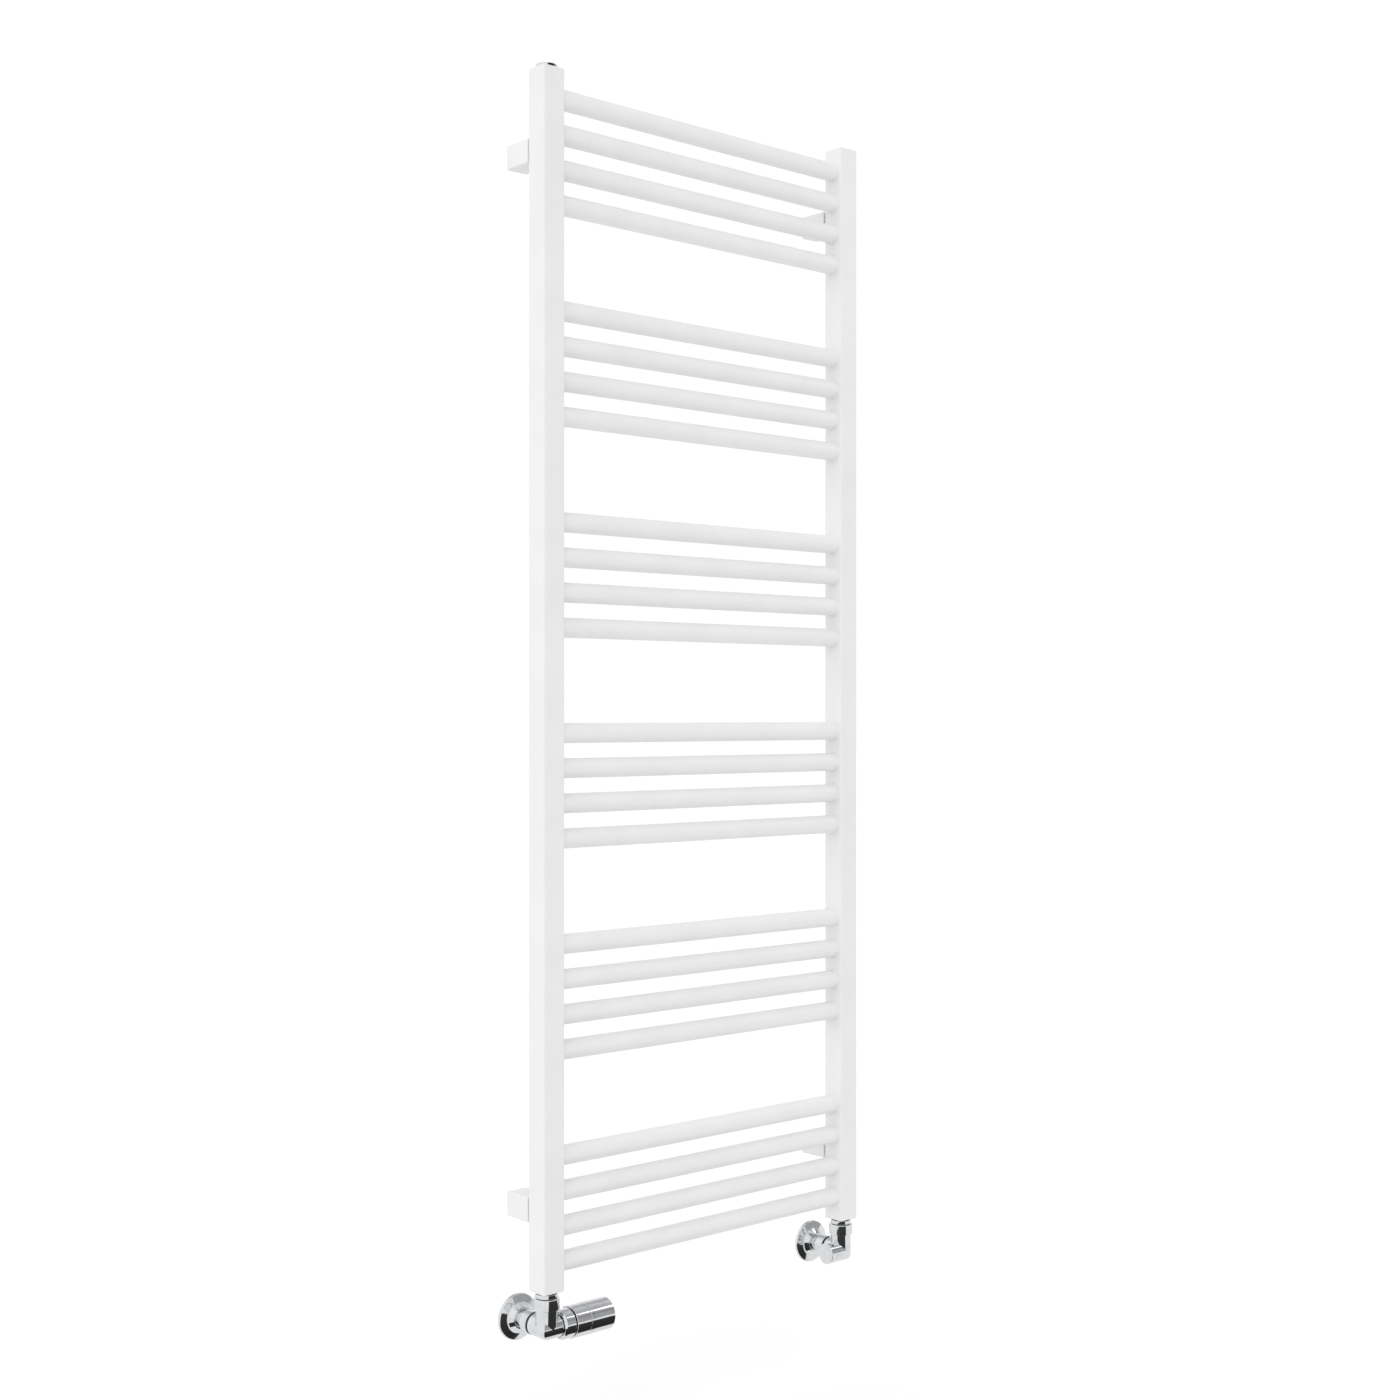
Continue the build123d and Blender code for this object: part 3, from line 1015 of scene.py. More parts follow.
# --- Valves ---
@dataclass(frozen=True)
class ValveSizes:
    """The sizes that both valves share, along each leg from the valve's centre."""

    leg: float = 12.8 * MM
    leg_edge: float = 0.3 * MM
    ridge_start: float = 4.0 * MM
    union_bottom: float = 22.2 * MM
    union_top: float = 35.0 * MM
    union_radius: float = 14.9 * MM
    up_thread: float = 11.2 * MM
    up_thread_end: float = 28.6 * MM
    flange_radius: float = 11.2 * MM
    flange_top: float = 31.4 * MM
    tail_radius: float = 9.0 * MM
    tail_bore: float = 6.5 * MM
    tail_ring: float = 12.6 * MM
    tail_ring_start: float = 35.4 * MM
    seal_start: float = 40.2 * MM
    seal_radius: float = 12.3 * MM
    seal_end: float = 42.2 * MM
    half_inch_thread: float = 10.45 * MM
    tail_end: float = 56.2 * MM
    wall_leg_end: float = 20.0 * MM
    wall_thread: float = 10.9 * MM
    wall_thread_end: float = 31.0 * MM
    pipe_bore: float = 7.55 * MM
    pipe_stop: float = 16.0 * MM
    o_ring: float = 12.4 * MM
    nut_start: float = 23.3 * MM
    nut_end: float = 35.5 * MM
    nut_radius: float = 13.2 * MM
    nut_lip: float = 2.0 * MM
    olive_radius: float = 9.2 * MM
    sleeve_radius: float = 9.6 * MM
    chamber: float = 8.0 * MM
    chamber_front: float = 9.0 * MM
    tail_socket: float = 14.0 * MM
    seat: float = 4.5 * MM
    seat_thickness: float = 2.0 * MM
    wall_passage: float = 3.0 * MM
    tail_passage: float = 3.2 * MM
    passage_offset: float = 4.5 * MM
    gap: float = 0.1 * MM


def valve_centre(side: int, sizes: ValveSizes) -> Vector:
    """Where one valve's legs meet.

    Args:
        side: -1 for the left valve and 1 for the right one.
        sizes: The valves' sizes.

    Returns:
        The point.
    """
    low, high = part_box("left_collector" if side < 0 else "right_collector")
    return Vector(((low.x + high.x) / 2, (low.y + high.y) / 2, low.z - sizes.seal_end))


def mitred_elbow(
    centre: Vector, legs: Sequence[tuple[Way, float]], rounding: float, sizes: ValveSizes
) -> Work:
    """Build two legs as one elbow, mitred where they meet.

    Args:
        centre: The valve's centre.
        legs: Each leg's way, and where it ends.
        rounding: How far the outer ridge is rounded.
        sizes: The valves' sizes.

    Returns:
        The closed elbow.
    """
    reach = 2 * sizes.leg
    first, second = (Vector(way.value) for way, _ in legs)
    across = (second - first).normalized()
    halves = []
    for (way, end), outward in zip(legs, (-across, across)):
        half = rod(sizes.leg, -reach, end, placed(centre, way), sizes.leg_edge)
        bmesh.ops.bisect_plane(
            half,
            geom=half.verts[:] + half.edges[:] + half.faces[:],
            plane_co=centre,
            plane_no=outward,
            clear_inner=True,
        )
        halves.append(half)
    elbow = gathered(halves)
    bmesh.ops.remove_doubles(elbow, verts=elbow.verts[:], dist=10 * WELD)
    bmesh.ops.recalc_face_normals(elbow, faces=elbow.faces[:])
    outer = -(first + second)
    ridge = [
        e
        for e in elbow.edges
        if all(abs((v.co - centre).dot(across)) < 10 * WELD for v in e.verts)
        and all((v.co - centre).dot(outer) > sizes.ridge_start for v in e.verts)
    ]
    soften(elbow, ridge, rounding, segments=4)
    return elbow


def corner_body(centre: Vector, elbow: Work, third: tuple[Way, float], sizes: ValveSizes) -> Work:
    """Build a corner body's outside: an elbow, a third leg and the two pipe threads.

    Args:
        centre: The valve's centre.
        elbow: The two legs that are mitred together, which are used up.
        third: The third leg's way, and where it ends.
        sizes: The valves' sizes.

    Returns:
        The closed outside.
    """
    additions = [
        (sizes.leg, third[1], third[0], sizes.leg_edge),
        (sizes.up_thread, sizes.up_thread_end, Way.UP, 0),
        (sizes.wall_thread, sizes.wall_thread_end, Way.WALL, 0),
    ]
    body = elbow
    for radius, end, way, rounding in additions:
        body = combined(body, rod(radius, 0, end, placed(centre, way), rounding), Cut.JOIN)
    return body


def leg_barrels(centre: Vector, head: Way, sizes: ValveSizes) -> list[Barrel]:
    """The round surfaces of a body's three legs."""
    return [(centre, way, sizes.leg) for way in (Way.UP, Way.WALL, head)]


def bored(body: Work, centre: Vector, head: Way, sizes: ValveSizes) -> Work:
    """Cut the waterways that both bodies share.

    Args:
        body: The body's closed outside, which is used up.
        centre: The valve's centre.
        head: The way its head points.
        sizes: The valves' sizes.

    Returns:
        The bored body.
    """
    back = Way.LEFT if head is Way.RIGHT else Way.RIGHT
    over = 1 * MM
    offset = sizes.passage_offset * Vector(head.value)
    cuts = [
        (sizes.pipe_bore, sizes.pipe_stop, sizes.wall_thread_end + over, centre, Way.WALL),
        (sizes.chamber, sizes.tail_socket, sizes.up_thread_end + over, centre, Way.UP),
        (sizes.chamber, sizes.seat_thickness, sizes.chamber, centre, back),
        (sizes.seat, -over, sizes.seat_thickness + over, centre, back),
        (sizes.chamber, 0, sizes.chamber_front + over / 2, centre, head),
        (sizes.wall_passage, 0, sizes.pipe_stop + over, centre - offset, Way.WALL),
        (sizes.tail_passage, 0, sizes.tail_socket + over, centre + offset, Way.UP),
    ]
    for radius, start, end, origin, way in cuts:
        body = combined(body, rod(radius, start, end, placed(origin, way)), Cut.REMOVE)
    return body


@dataclass
class ValveFittings:
    """The unions, nuts, seals, sleeves and roses that both valves have."""

    palette: Palette
    sizes: ValveSizes
    rose_radius: float = 26.6 * MM
    rose_rim: float = 3.2 * MM
    rose_shoulder: float = 17.8 * MM
    rose_shoulder_height: float = 5.6 * MM
    rose_step_height: float = 7.6 * MM
    rose_hub: float = 12.0 * MM
    rose_height: float = 12.0 * MM

    def tailpiece(self, up: Matrix) -> Work:
        """Build one tailpiece.

        Args:
            up: The up leg's place.

        Returns:
            The tailpiece.
        """
        s = self.sizes
        profile = [
            (s.tail_bore, s.up_thread_end, 0),
            (s.flange_radius, s.up_thread_end, 0),
            (s.flange_radius, s.flange_top, 0),
            (s.tail_radius, s.flange_top, 0),
            (s.tail_radius, s.tail_ring_start, 0),
            (s.tail_ring, s.tail_ring_start, Edge.EASED),
            (s.tail_ring, s.seal_start, Edge.EASED),
            (s.half_inch_thread, s.seal_start, 0),
            (s.half_inch_thread, s.tail_end, Edge.EASED),
            (s.tail_bore, s.tail_end, 0),
        ]
        return turned(profile, up)

    def union_nut(self, up: Matrix) -> Work:
        """Build one union nut.

        Args:
            up: The up leg's place.

        Returns:
            The nut.
        """
        s = self.sizes
        profile = [
            (s.up_thread + s.gap, s.union_bottom, 0),
            (s.union_radius, s.union_bottom, Edge.BROKEN),
            (s.union_radius, s.union_top, Edge.ROUND),
            (s.tail_radius + s.gap, s.union_top, Edge.FINE),
            (s.tail_radius + s.gap, s.flange_top + s.gap, 0),
            (s.up_thread + s.gap, s.flange_top + s.gap, 0),
        ]
        return turned(profile, up)

    def compression_nut(self, wall: Matrix) -> Work:
        """Build one compression nut.

        Args:
            wall: The wall leg's place.

        Returns:
            The nut.
        """
        s = self.sizes
        lip = s.nut_end - s.nut_lip
        profile = [
            (s.wall_thread + s.gap, s.nut_start, 0),
            (s.nut_radius, s.nut_start, Edge.BROKEN),
            (s.nut_radius, s.nut_end, Edge.ROUND),
            (s.pipe_bore, s.nut_end, 0),
            (s.pipe_bore, lip, 0),
            (s.wall_thread + s.gap, lip, 0),
        ]
        return turned(profile, wall)

    def olive(self, wall: Matrix) -> Work:
        """Build one olive.

        Args:
            wall: The wall leg's place.

        Returns:
            The olive.
        """
        s = self.sizes
        start = s.wall_thread_end + s.gap
        end = s.nut_end - s.nut_lip - s.gap
        shoulder = s.pipe_bore + 0.8 * MM
        profile = [
            (s.pipe_bore, start, 0),
            (shoulder, start, 0),
            (s.olive_radius, (start + end) / 2, 0),
            (shoulder, end, 0),
            (s.pipe_bore, end, 0),
        ]
        return turned(profile, wall, PLAIN_STEPS)

    def rose(self, room: Matrix) -> Work:
        """Build one wall rose.

        Args:
            room: Its place, looking away from the wall.

        Returns:
            The rose.
        """
        bore = self.sizes.sleeve_radius + self.sizes.gap
        profile = [
            (bore, 0, 0),
            (self.rose_radius, 0, 0),
            (self.rose_radius, self.rose_rim, Edge.BOLD),
            (self.rose_shoulder, self.rose_shoulder_height, Edge.CRISP),
            (self.rose_shoulder, self.rose_step_height, Edge.FULL),
            (self.rose_hub, self.rose_height, Edge.FULL),
            (bore, self.rose_height, Edge.CRISP),
        ]
        return turned(profile, room)

    def build(self) -> None:
        """Build each kind of fitting as one piece, with both valves' copies."""
        s = self.sizes
        centres = [valve_centre(side, s) for side in (-1, 1)]
        ups = [placed(centre, Way.UP) for centre in centres]
        walls = [placed(centre, Way.WALL) for centre in centres]
        rooms = [placed(Vector((c.x, 0, c.z)), Way.ROOM) for c in centres]
        depth = -centres[0].y
        chrome, brass, rubber = self.palette.chrome, self.palette.brass, self.palette.rubber
        seals = [
            ring(s.seal_radius, s.half_inch_thread, s.seal_start, s.seal_end, up, Edge.EASED) for up in ups
        ]
        o_rings = [
            ring(s.o_ring, s.wall_thread + s.gap, s.wall_leg_end, s.nut_start, wall, Edge.RING)
            for wall in walls
        ]
        sleeves = [ring(s.sleeve_radius, s.pipe_bore, s.nut_end, depth, wall) for wall in walls]
        kinds = [
            ("union_tailpieces", map(self.tailpiece, ups), chrome, Slot.CHROME, "tailpieces"),
            ("union_nut_shells", map(self.union_nut, ups), chrome, Slot.CHROME, "union_nuts"),
            ("union_washers", seals, rubber, Slot.RUBBER, "tailpiece_seals"),
            ("pipe_nut_shells", map(self.compression_nut, walls), chrome, Slot.CHROME, "compression_nuts"),
            ("pipe_o_rings", o_rings, rubber, Slot.RUBBER, "o_rings"),
            ("pipe_olives", map(self.olive, walls), brass, Slot.BRASS, "olives"),
            ("pipe_covers", sleeves, chrome, Slot.CHROME, "pipe_sleeves"),
            ("rose_discs", map(self.rose, rooms), chrome, Slot.CHROME, "wall_roses"),
        ]
        for name, works, material, slot, node in kinds:
            publish(gathered(works), name, material, slot, [node])


@dataclass
class ThermostaticValve:
    """The left valve, with its thermostatic head pointing right."""

    palette: Palette
    sizes: ValveSizes
    ridge_rounding: float = 0.5 * MM
    spring_radius: float = 3.5 * MM
    spring_wire: float = 0.3 * MM
    spring_start: float = 12.5 * MM
    spring_end: float = 18.7 * MM
    seat_turns: int = 3
    clip_turns: int = 2
    sensor_travel: float = 1.61 * MM
    stroke: float = 1.8 * MM
    leg_end: float = 17.5 * MM
    thread: float = 13.9 * MM
    thread_end: float = 24.6 * MM
    insert_bore: float = 10.0 * MM
    collar_start: float = 15.5 * MM
    collar_small: float = 15.2 * MM
    collar_taper: float = 2.4 * MM
    collar_radius: float = 16.8 * MM
    collar_end: float = 30.0 * MM
    collar_bore: float = 14.0 * MM
    lip_start: float = 27.2 * MM
    lip_bore: float = 12.2 * MM
    neck_bore: float = 8.0 * MM
    neck: float = 12.0 * MM
    neck_flange: float = 13.8 * MM
    sleeve_start: float = 31.0 * MM
    sleeve_end: float = 50.8 * MM
    sleeve_radius: float = 18.4 * MM
    sleeve_bore: float = 16.0 * MM
    sleeve_floor: float = 3.0 * MM
    handle_start: float = 51.2 * MM
    handle_end: float = 85.0 * MM
    handle_radius: float = 18.3 * MM
    handle_bore: float = 14.0 * MM
    cavity_end: float = 82.0 * MM
    spigot_start: float = 43.0 * MM
    spigot: float = 15.7 * MM
    numeral_height: float = 3.0 * MM
    dot_radius: float = 0.4 * MM
    dot_rise: float = 0.4
    dots_between: int = 3
    numeral_along: float = 53.2 * MM
    settings: int = 5
    turn: float = 300.0
    ink_depth: float = 0.03 * MM

    def body(self, centre: Vector) -> Work:
        """Build the body, with the thread under the collar.

        Args:
            centre: The valve's centre.

        Returns:
            The body.
        """
        head = placed(centre, Way.RIGHT)
        sizes = self.sizes
        legs = [(Way.WALL, sizes.wall_leg_end), (Way.RIGHT, self.leg_end)]
        elbow = mitred_elbow(centre, legs, self.ridge_rounding, sizes)
        body = corner_body(centre, elbow, (Way.UP, sizes.union_bottom), sizes)
        body = combined(body, rod(self.thread, self.leg_end, self.thread_end, head), Cut.JOIN)
        body = bored(body, centre, Way.RIGHT, self.sizes)
        mouth = rod(self.insert_bore, self.sizes.chamber_front, self.thread_end + 1 * MM, head)
        return combined(body, mouth, Cut.REMOVE)

    def collar(self, head: Matrix) -> Work:
        """Build the collar that holds the head on.

        Args:
            head: The head leg's place.

        Returns:
            The collar.
        """
        profile = [
            (self.collar_bore, self.collar_start, 0),
            (self.collar_small, self.collar_start, Edge.CRISP),
            (self.collar_radius, self.collar_start + self.collar_taper, Edge.EASED),
            (self.collar_radius, self.collar_end, Edge.EASED),
            (self.lip_bore, self.collar_end, Edge.FINE),
            (self.lip_bore, self.lip_start, 0),
            (self.collar_bore, self.lip_start, 0),
        ]
        return turned(profile, head)

    def index_sleeve(self, head: Matrix) -> Work:
        """Build the fixed sleeve that carries the index mark.

        Args:
            head: The head leg's place.

        Returns:
            The sleeve.
        """
        floor = self.sleeve_start + self.sleeve_floor
        flange_start = self.thread_end + 0.3 * MM
        flange_end = self.lip_start - 0.1 * MM
        profile = [
            (self.neck_bore, flange_start, 0),
            (self.neck_flange, flange_start, 0),
            (self.neck_flange, flange_end, 0),
            (self.neck, flange_end, 0),
            (self.neck, self.sleeve_start, 0),
            (self.sleeve_radius, self.sleeve_start, Edge.SOFT),
            (self.sleeve_radius, self.sleeve_end, Edge.SOFT),
            (self.sleeve_bore, self.sleeve_end, Edge.HAIR),
            (self.sleeve_bore, floor, 0),
            (self.neck_bore, floor, 0),
        ]
        return turned(profile, head)

    def handle(self, head: Matrix) -> Work:
        """Build the handle that is turned.

        Args:
            head: The head leg's place.

        Returns:
            The handle.
        """
        profile = [
            (0, self.handle_end, 0),
            (self.handle_radius, self.handle_end, Edge.BOLD),
            (self.handle_radius, self.handle_start, Edge.SOFT),
            (self.spigot, self.handle_start, 0),
            (self.spigot, self.spigot_start, 0),
            (self.handle_bore, self.spigot_start, 0),
            (self.handle_bore, self.cavity_end, 0),
            (0, self.cavity_end, 0),
        ]
        return turned(profile, head)

    def wrapped(self, work: Work, centre: Vector, radius: float, angle: float, along: float) -> Work:
        """Bend a flat mark round the head.

        Args:
            work: The mark, flat on its own XY plane.
            centre: The valve's centre.
            radius: The radius that it is bent to.
            angle: Its middle's angle from the room up to the top, in radians.
            along: Its foot's distance along the head.

        Returns:
            The bent mark.
        """
        for vertex in work.verts:
            across, up, out = vertex.co
            bend = angle - across / radius
            reach = radius + out
            vertex.co = centre + Vector((along + up, -reach * math.cos(bend), reach * math.sin(bend)))
        bmesh.ops.recalc_face_normals(work, faces=work.faces[:])
        return work

    def numeral(self, text: str) -> Work:
        """Cut one numeral from ink.

        Args:
            text: The numeral.

        Returns:
            The flat numeral, centred across.
        """
        curve = bpy.data.curves.new("numeral", "FONT")
        curve.body = text
        curve.size = self.numeral_height / 0.7
        curve.align_x = "CENTER"
        curve.resolution_u = 4
        writer = bpy.data.objects.new("numeral", curve)
        bpy.context.scene.collection.objects.link(writer)
        mesh = bpy.data.meshes.new_from_object(writer.evaluated_get(bpy.context.evaluated_depsgraph_get()))
        work = bmesh.new()
        work.from_mesh(mesh)
        bpy.data.objects.remove(writer)
        bpy.data.curves.remove(curve)
        bpy.data.meshes.remove(mesh)
        return self.thickened(work)

    def thickened(self, work: Work) -> Work:
        """Give a flat mark the thickness of its ink.

        Args:
            work: The flat mark.

        Returns:
            The mark as a closed plate.
        """
        bmesh.ops.remove_doubles(work, verts=work.verts[:], dist=WELD)
        raised = bmesh.ops.extrude_face_region(work, geom=work.faces[:])
        top = [item for item in raised["geom"] if isinstance(item, bmesh.types.BMVert)]
        bmesh.ops.translate(work, vec=(0, 0, self.ink_depth), verts=top)
        bmesh.ops.recalc_face_normals(work, faces=work.faces[:])
        return work

    def bar(self, width: float, length: float) -> Work:
        """Cut one straight mark from ink.

        Args:
            width: Its width round the head.
            length: Its length along the head.

        Returns:
            The flat mark, with its foot at the origin.
        """
        work = bmesh.new()
        bmesh.ops.create_grid(work, x_segments=2, y_segments=2, size=0.5)
        stretch = Matrix.Diagonal((width, length, 1, 1))
        middle = Matrix.Translation((0, length / 2, 0))
        bmesh.ops.transform(work, matrix=middle @ stretch, verts=work.verts[:])
        return self.thickened(work)

    def dot(self, radius: float) -> Work:
        """Cut one round mark from ink.

        Args:
            radius: Its radius.

        Returns:
            The flat mark, with its foot at the origin.
        """
        work = bmesh.new()
        place = Matrix.Translation((0, radius, 0))
        bmesh.ops.create_circle(work, cap_ends=True, radius=radius, segments=16, matrix=place)
        return self.thickened(work)

    def scale_marks(self, centre: Vector) -> Work:
        """Build the numerals on the handle, with three dots between each two.

        Args:
            centre: The valve's centre.

        Returns:
            The marks.
        """
        top = math.pi / 2
        pitch = math.radians(self.turn) / self.settings
        marks = []
        for setting in range(self.settings + 1):
            angle = top - (self.settings - setting) * pitch
            numeral = self.numeral(str(setting))
            marks.append(self.wrapped(numeral, centre, self.handle_radius, angle, self.numeral_along))
            for k in range(1, self.dots_between + 1):
                if setting < self.settings:
                    between = angle + k * pitch / (self.dots_between + 1)
                    dot = self.dot(self.dot_radius)
                    along = self.numeral_along + self.dot_rise * self.numeral_height
                    marks.append(self.wrapped(dot, centre, self.handle_radius, between, along))
        return gathered(marks)

    def return_spring(self, head: Matrix) -> None:
        """Build the return spring in two lengths, one at the seat and one at the clip.

        The length at the clip rides on the spindle. How much of each length would be left after the stroke
        or the sensor's travel is worked out, but nothing uses it.

        Args:
            head: The head leg's place.
        """
        pitch = (self.spring_end - self.spring_start) / (self.seat_turns + self.clip_turns)
        meeting = self.spring_start + self.seat_turns * pitch
        seat, clip = self.spring_start - self.spring_wire, self.spring_end + self.spring_wire
        zinc, sizes = self.palette.zinc, (self.spring_radius, self.spring_wire)
        work = coil(*sizes, self.spring_start, meeting, self.seat_turns, head)
        lower = publish(work, "return_spring_at_seat", zinc, Slot.ZINC, ["trv_return_spring"])
        keep = 1 - self.stroke / (meeting - seat)
        head @ Vector((0, 0, seat))
        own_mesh(lower)
        work = coil(*sizes, meeting, self.spring_end, self.clip_turns, head)
        upper = publish(work, "return_spring_at_clip", zinc, Slot.ZINC, body="valve_spindle")
        keep = 1 - self.sensor_travel / (clip - meeting)
        head @ Vector((0, 0, clip))
        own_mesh(upper)

    def build(self) -> None:
        """Build and dress the valve."""
        centre = valve_centre(-1, self.sizes)
        head = placed(centre, Way.RIGHT)
        chrome, ink = self.palette.chrome, self.palette.ink
        legs = leg_barrels(centre, Way.RIGHT, self.sizes)
        publish(self.body(centre), "thermostatic_body", chrome, Slot.CHROME, ["trv_body"], barrels=legs)
        publish(self.collar(head), "head_collar", chrome, Slot.CHROME, ["trv_collar"])
        publish(self.index_sleeve(head), "head_index_sleeve", chrome, Slot.CHROME, ["trv_index_sleeve"])
        publish(self.handle(head), "head_handle", chrome, Slot.CHROME, ["trv_handle"], "thermostat_handle")
        marks = self.scale_marks(centre)
        publish(marks, "head_scale_marks", ink, None, body="thermostat_handle")
        length = 2.6 * MM
        index = self.bar(0.7 * MM, length)
        along = self.sleeve_end - 0.9 * MM - length
        index = self.wrapped(index, centre, self.sleeve_radius, math.pi / 2, along)
        publish(index, "head_index_mark", ink, None)
        self.return_spring(head)
        dress(self.palette.brass, "trv_insert", "trv_gland")
        dress(self.palette.zinc, "trv_spindle")
        dress(self.palette.rubber, "trv_seat_washer")
        dress(self.palette.plastic, "trv_sensor", "trv_push_pin")


@dataclass
class LockshieldValve:
    """The right valve, with its cap pointing left."""

    palette: Palette
    sizes: ValveSizes
    ridge_rounding: float = 4.0 * MM
    leg_end: float = 19.0 * MM
    spigot: float = 10.5 * MM
    spigot_end: float = 25.0 * MM
    bore: float = 6.0 * MM
    cap_radius: float = 13.0 * MM
    cap_end: float = 27.8 * MM
    cap_bore: float = 10.8 * MM
    cap_bore_end: float = 25.6 * MM
    mouth_radius: float = 12.3 * MM
    mouth_end: float = 20.8 * MM
    seal_inner: float = 10.8 * MM
    seal_outer: float = 12.0 * MM
    seal_start: float = 19.3 * MM
    seal_end: float = 20.4 * MM
    tip_start: float = 4.0 * MM
    tip_radius: float = 4.9 * MM
    spindle_start: float = 9.2 * MM
    spindle_radius: float = 5.95 * MM
    spindle_end: float = 22.0 * MM
    groove_start: float = 16.9 * MM
    groove_end: float = 18.3 * MM
    groove_radius: float = 4.3 * MM
    ring_inner: float = 4.4 * MM
    ring_start: float = 17.0 * MM
    ring_end: float = 18.2 * MM
    key_side: float = 5.0 * MM
    key_depth: float = 4.0 * MM

    def body(self, centre: Vector) -> Work:
        """Build the body, with the spigot under the cap.

        Args:
            centre: The valve's centre.

        Returns:
            The body.
        """
        head = placed(centre, Way.LEFT)
        sizes = self.sizes
        legs = [(Way.UP, sizes.union_bottom), (Way.LEFT, self.leg_end)]
        elbow = mitred_elbow(centre, legs, self.ridge_rounding, sizes)
        body = corner_body(centre, elbow, (Way.WALL, sizes.wall_leg_end), sizes)
        body = combined(body, rod(self.spigot, 0, self.spigot_end, head, Edge.BROKEN), Cut.JOIN)
        body = bored(body, centre, Way.LEFT, self.sizes)
        mouth = rod(self.bore, self.sizes.chamber_front, self.spigot_end + 1 * MM, head)
        return combined(body, mouth, Cut.REMOVE)

    def spindle(self, head: Matrix) -> Work:
        """Build the regulating spindle with its hexagon socket.

        Args:
            head: The head leg's place.

        Returns:
            The spindle.
        """
        profile = [
            (0, self.tip_start, 0),
            (self.sizes.seat - 1 * MM, self.tip_start, Edge.CRISP),
            (self.tip_radius, self.tip_start + 2 * MM, 0),
            (self.tip_radius, self.spindle_start, 0),
            (self.spindle_radius, self.spindle_start, 0),
            (self.spindle_radius, self.groove_start, 0),
            (self.groove_radius, self.groove_start, 0),
            (self.groove_radius, self.groove_end, 0),
            (self.spindle_radius, self.groove_end, 0),
            (self.spindle_radius, self.spindle_end, Edge.EASED),
            (0, self.spindle_end, 0),
        ]
        key = bmesh.new()
        bmesh.ops.create_cone(
            key,
            cap_ends=True,
            segments=6,
            radius1=self.key_side / math.sqrt(3),
            radius2=self.key_side / math.sqrt(3),
            depth=2 * self.key_depth,
            matrix=head @ Matrix.Translation((0, 0, self.spindle_end)),
        )
        return combined(turned(profile, head), key, Cut.REMOVE)

    def cap(self, head: Matrix) -> Work:
        """Build the cap.

        Args:
            head: The head leg's place.

        Returns:
            The cap.
        """
        start = self.leg_end + 0.1 * MM
        profile = [
            (0, self.cap_end, 0),
            (self.cap_radius, self.cap_end, Edge.SOFT),
            (self.cap_radius, start, Edge.CRISP),
            (self.mouth_radius, start, Edge.HAIR),
            (self.mouth_radius, self.mouth_end, 0),
            (self.cap_bore, self.mouth_end, 0),
            (self.cap_bore, self.cap_bore_end, 0),
            (0, self.cap_bore_end, 0),
        ]
        return turned(profile, head)

    def build(self) -> None:
        """Build the valve."""
        centre = valve_centre(1, self.sizes)
        head = placed(centre, Way.LEFT)
        chrome, rubber = self.palette.chrome, self.palette.rubber
        legs = leg_barrels(centre, Way.LEFT, self.sizes)
        body = self.body(centre)
        publish(body, "regulating_body", chrome, Slot.CHROME, ["lockshield_body"], barrels=legs)
        publish(
            self.spindle(head),
            "regulating_spindle",
            self.palette.brass,
            Slot.BRASS,
            ["lockshield_spindle"],
            "lockshield_spindle",
        )
        seal = ring(self.spindle_radius, self.ring_inner, self.ring_start, self.ring_end, head, Edge.BROKEN)
        name = "lockshield_spindle_seal"
        publish(seal, "regulating_spindle_ring", rubber, Slot.RUBBER, [name], name)
        publish(self.cap(head), "regulating_cap", chrome, Slot.CHROME, ["lockshield_cap"], "lockshield_cap")
        seal = ring(self.seal_outer, self.seal_inner, self.seal_start, self.seal_end, head, Edge.CRISP)
        name = "lockshield_cap_seal"
        publish(seal, "regulating_cap_ring", rubber, Slot.RUBBER, [name], name)


# --- Studio ---
def staged(work: Work, name: str, material: bpy.types.Material, reflected_only: bool) -> None:
    """Stand one shape in the studio, outside the object.

    Args:
        work: The shape, which is used up.
        name: Its name.
        material: Its finish.
        reflected_only: Whether nothing but reflections sees it.
    """
    mesh = bpy.data.meshes.new(name)
    work.to_mesh(mesh)
    work.free()
    mesh.materials.append(material)
    item = bpy.data.objects.new(name, mesh)
    bpy.context.scene.collection.objects.link(item)
    if reflected_only:
        item.visible_camera = False
        item.visible_shadow = False
        item.visible_diffuse = False


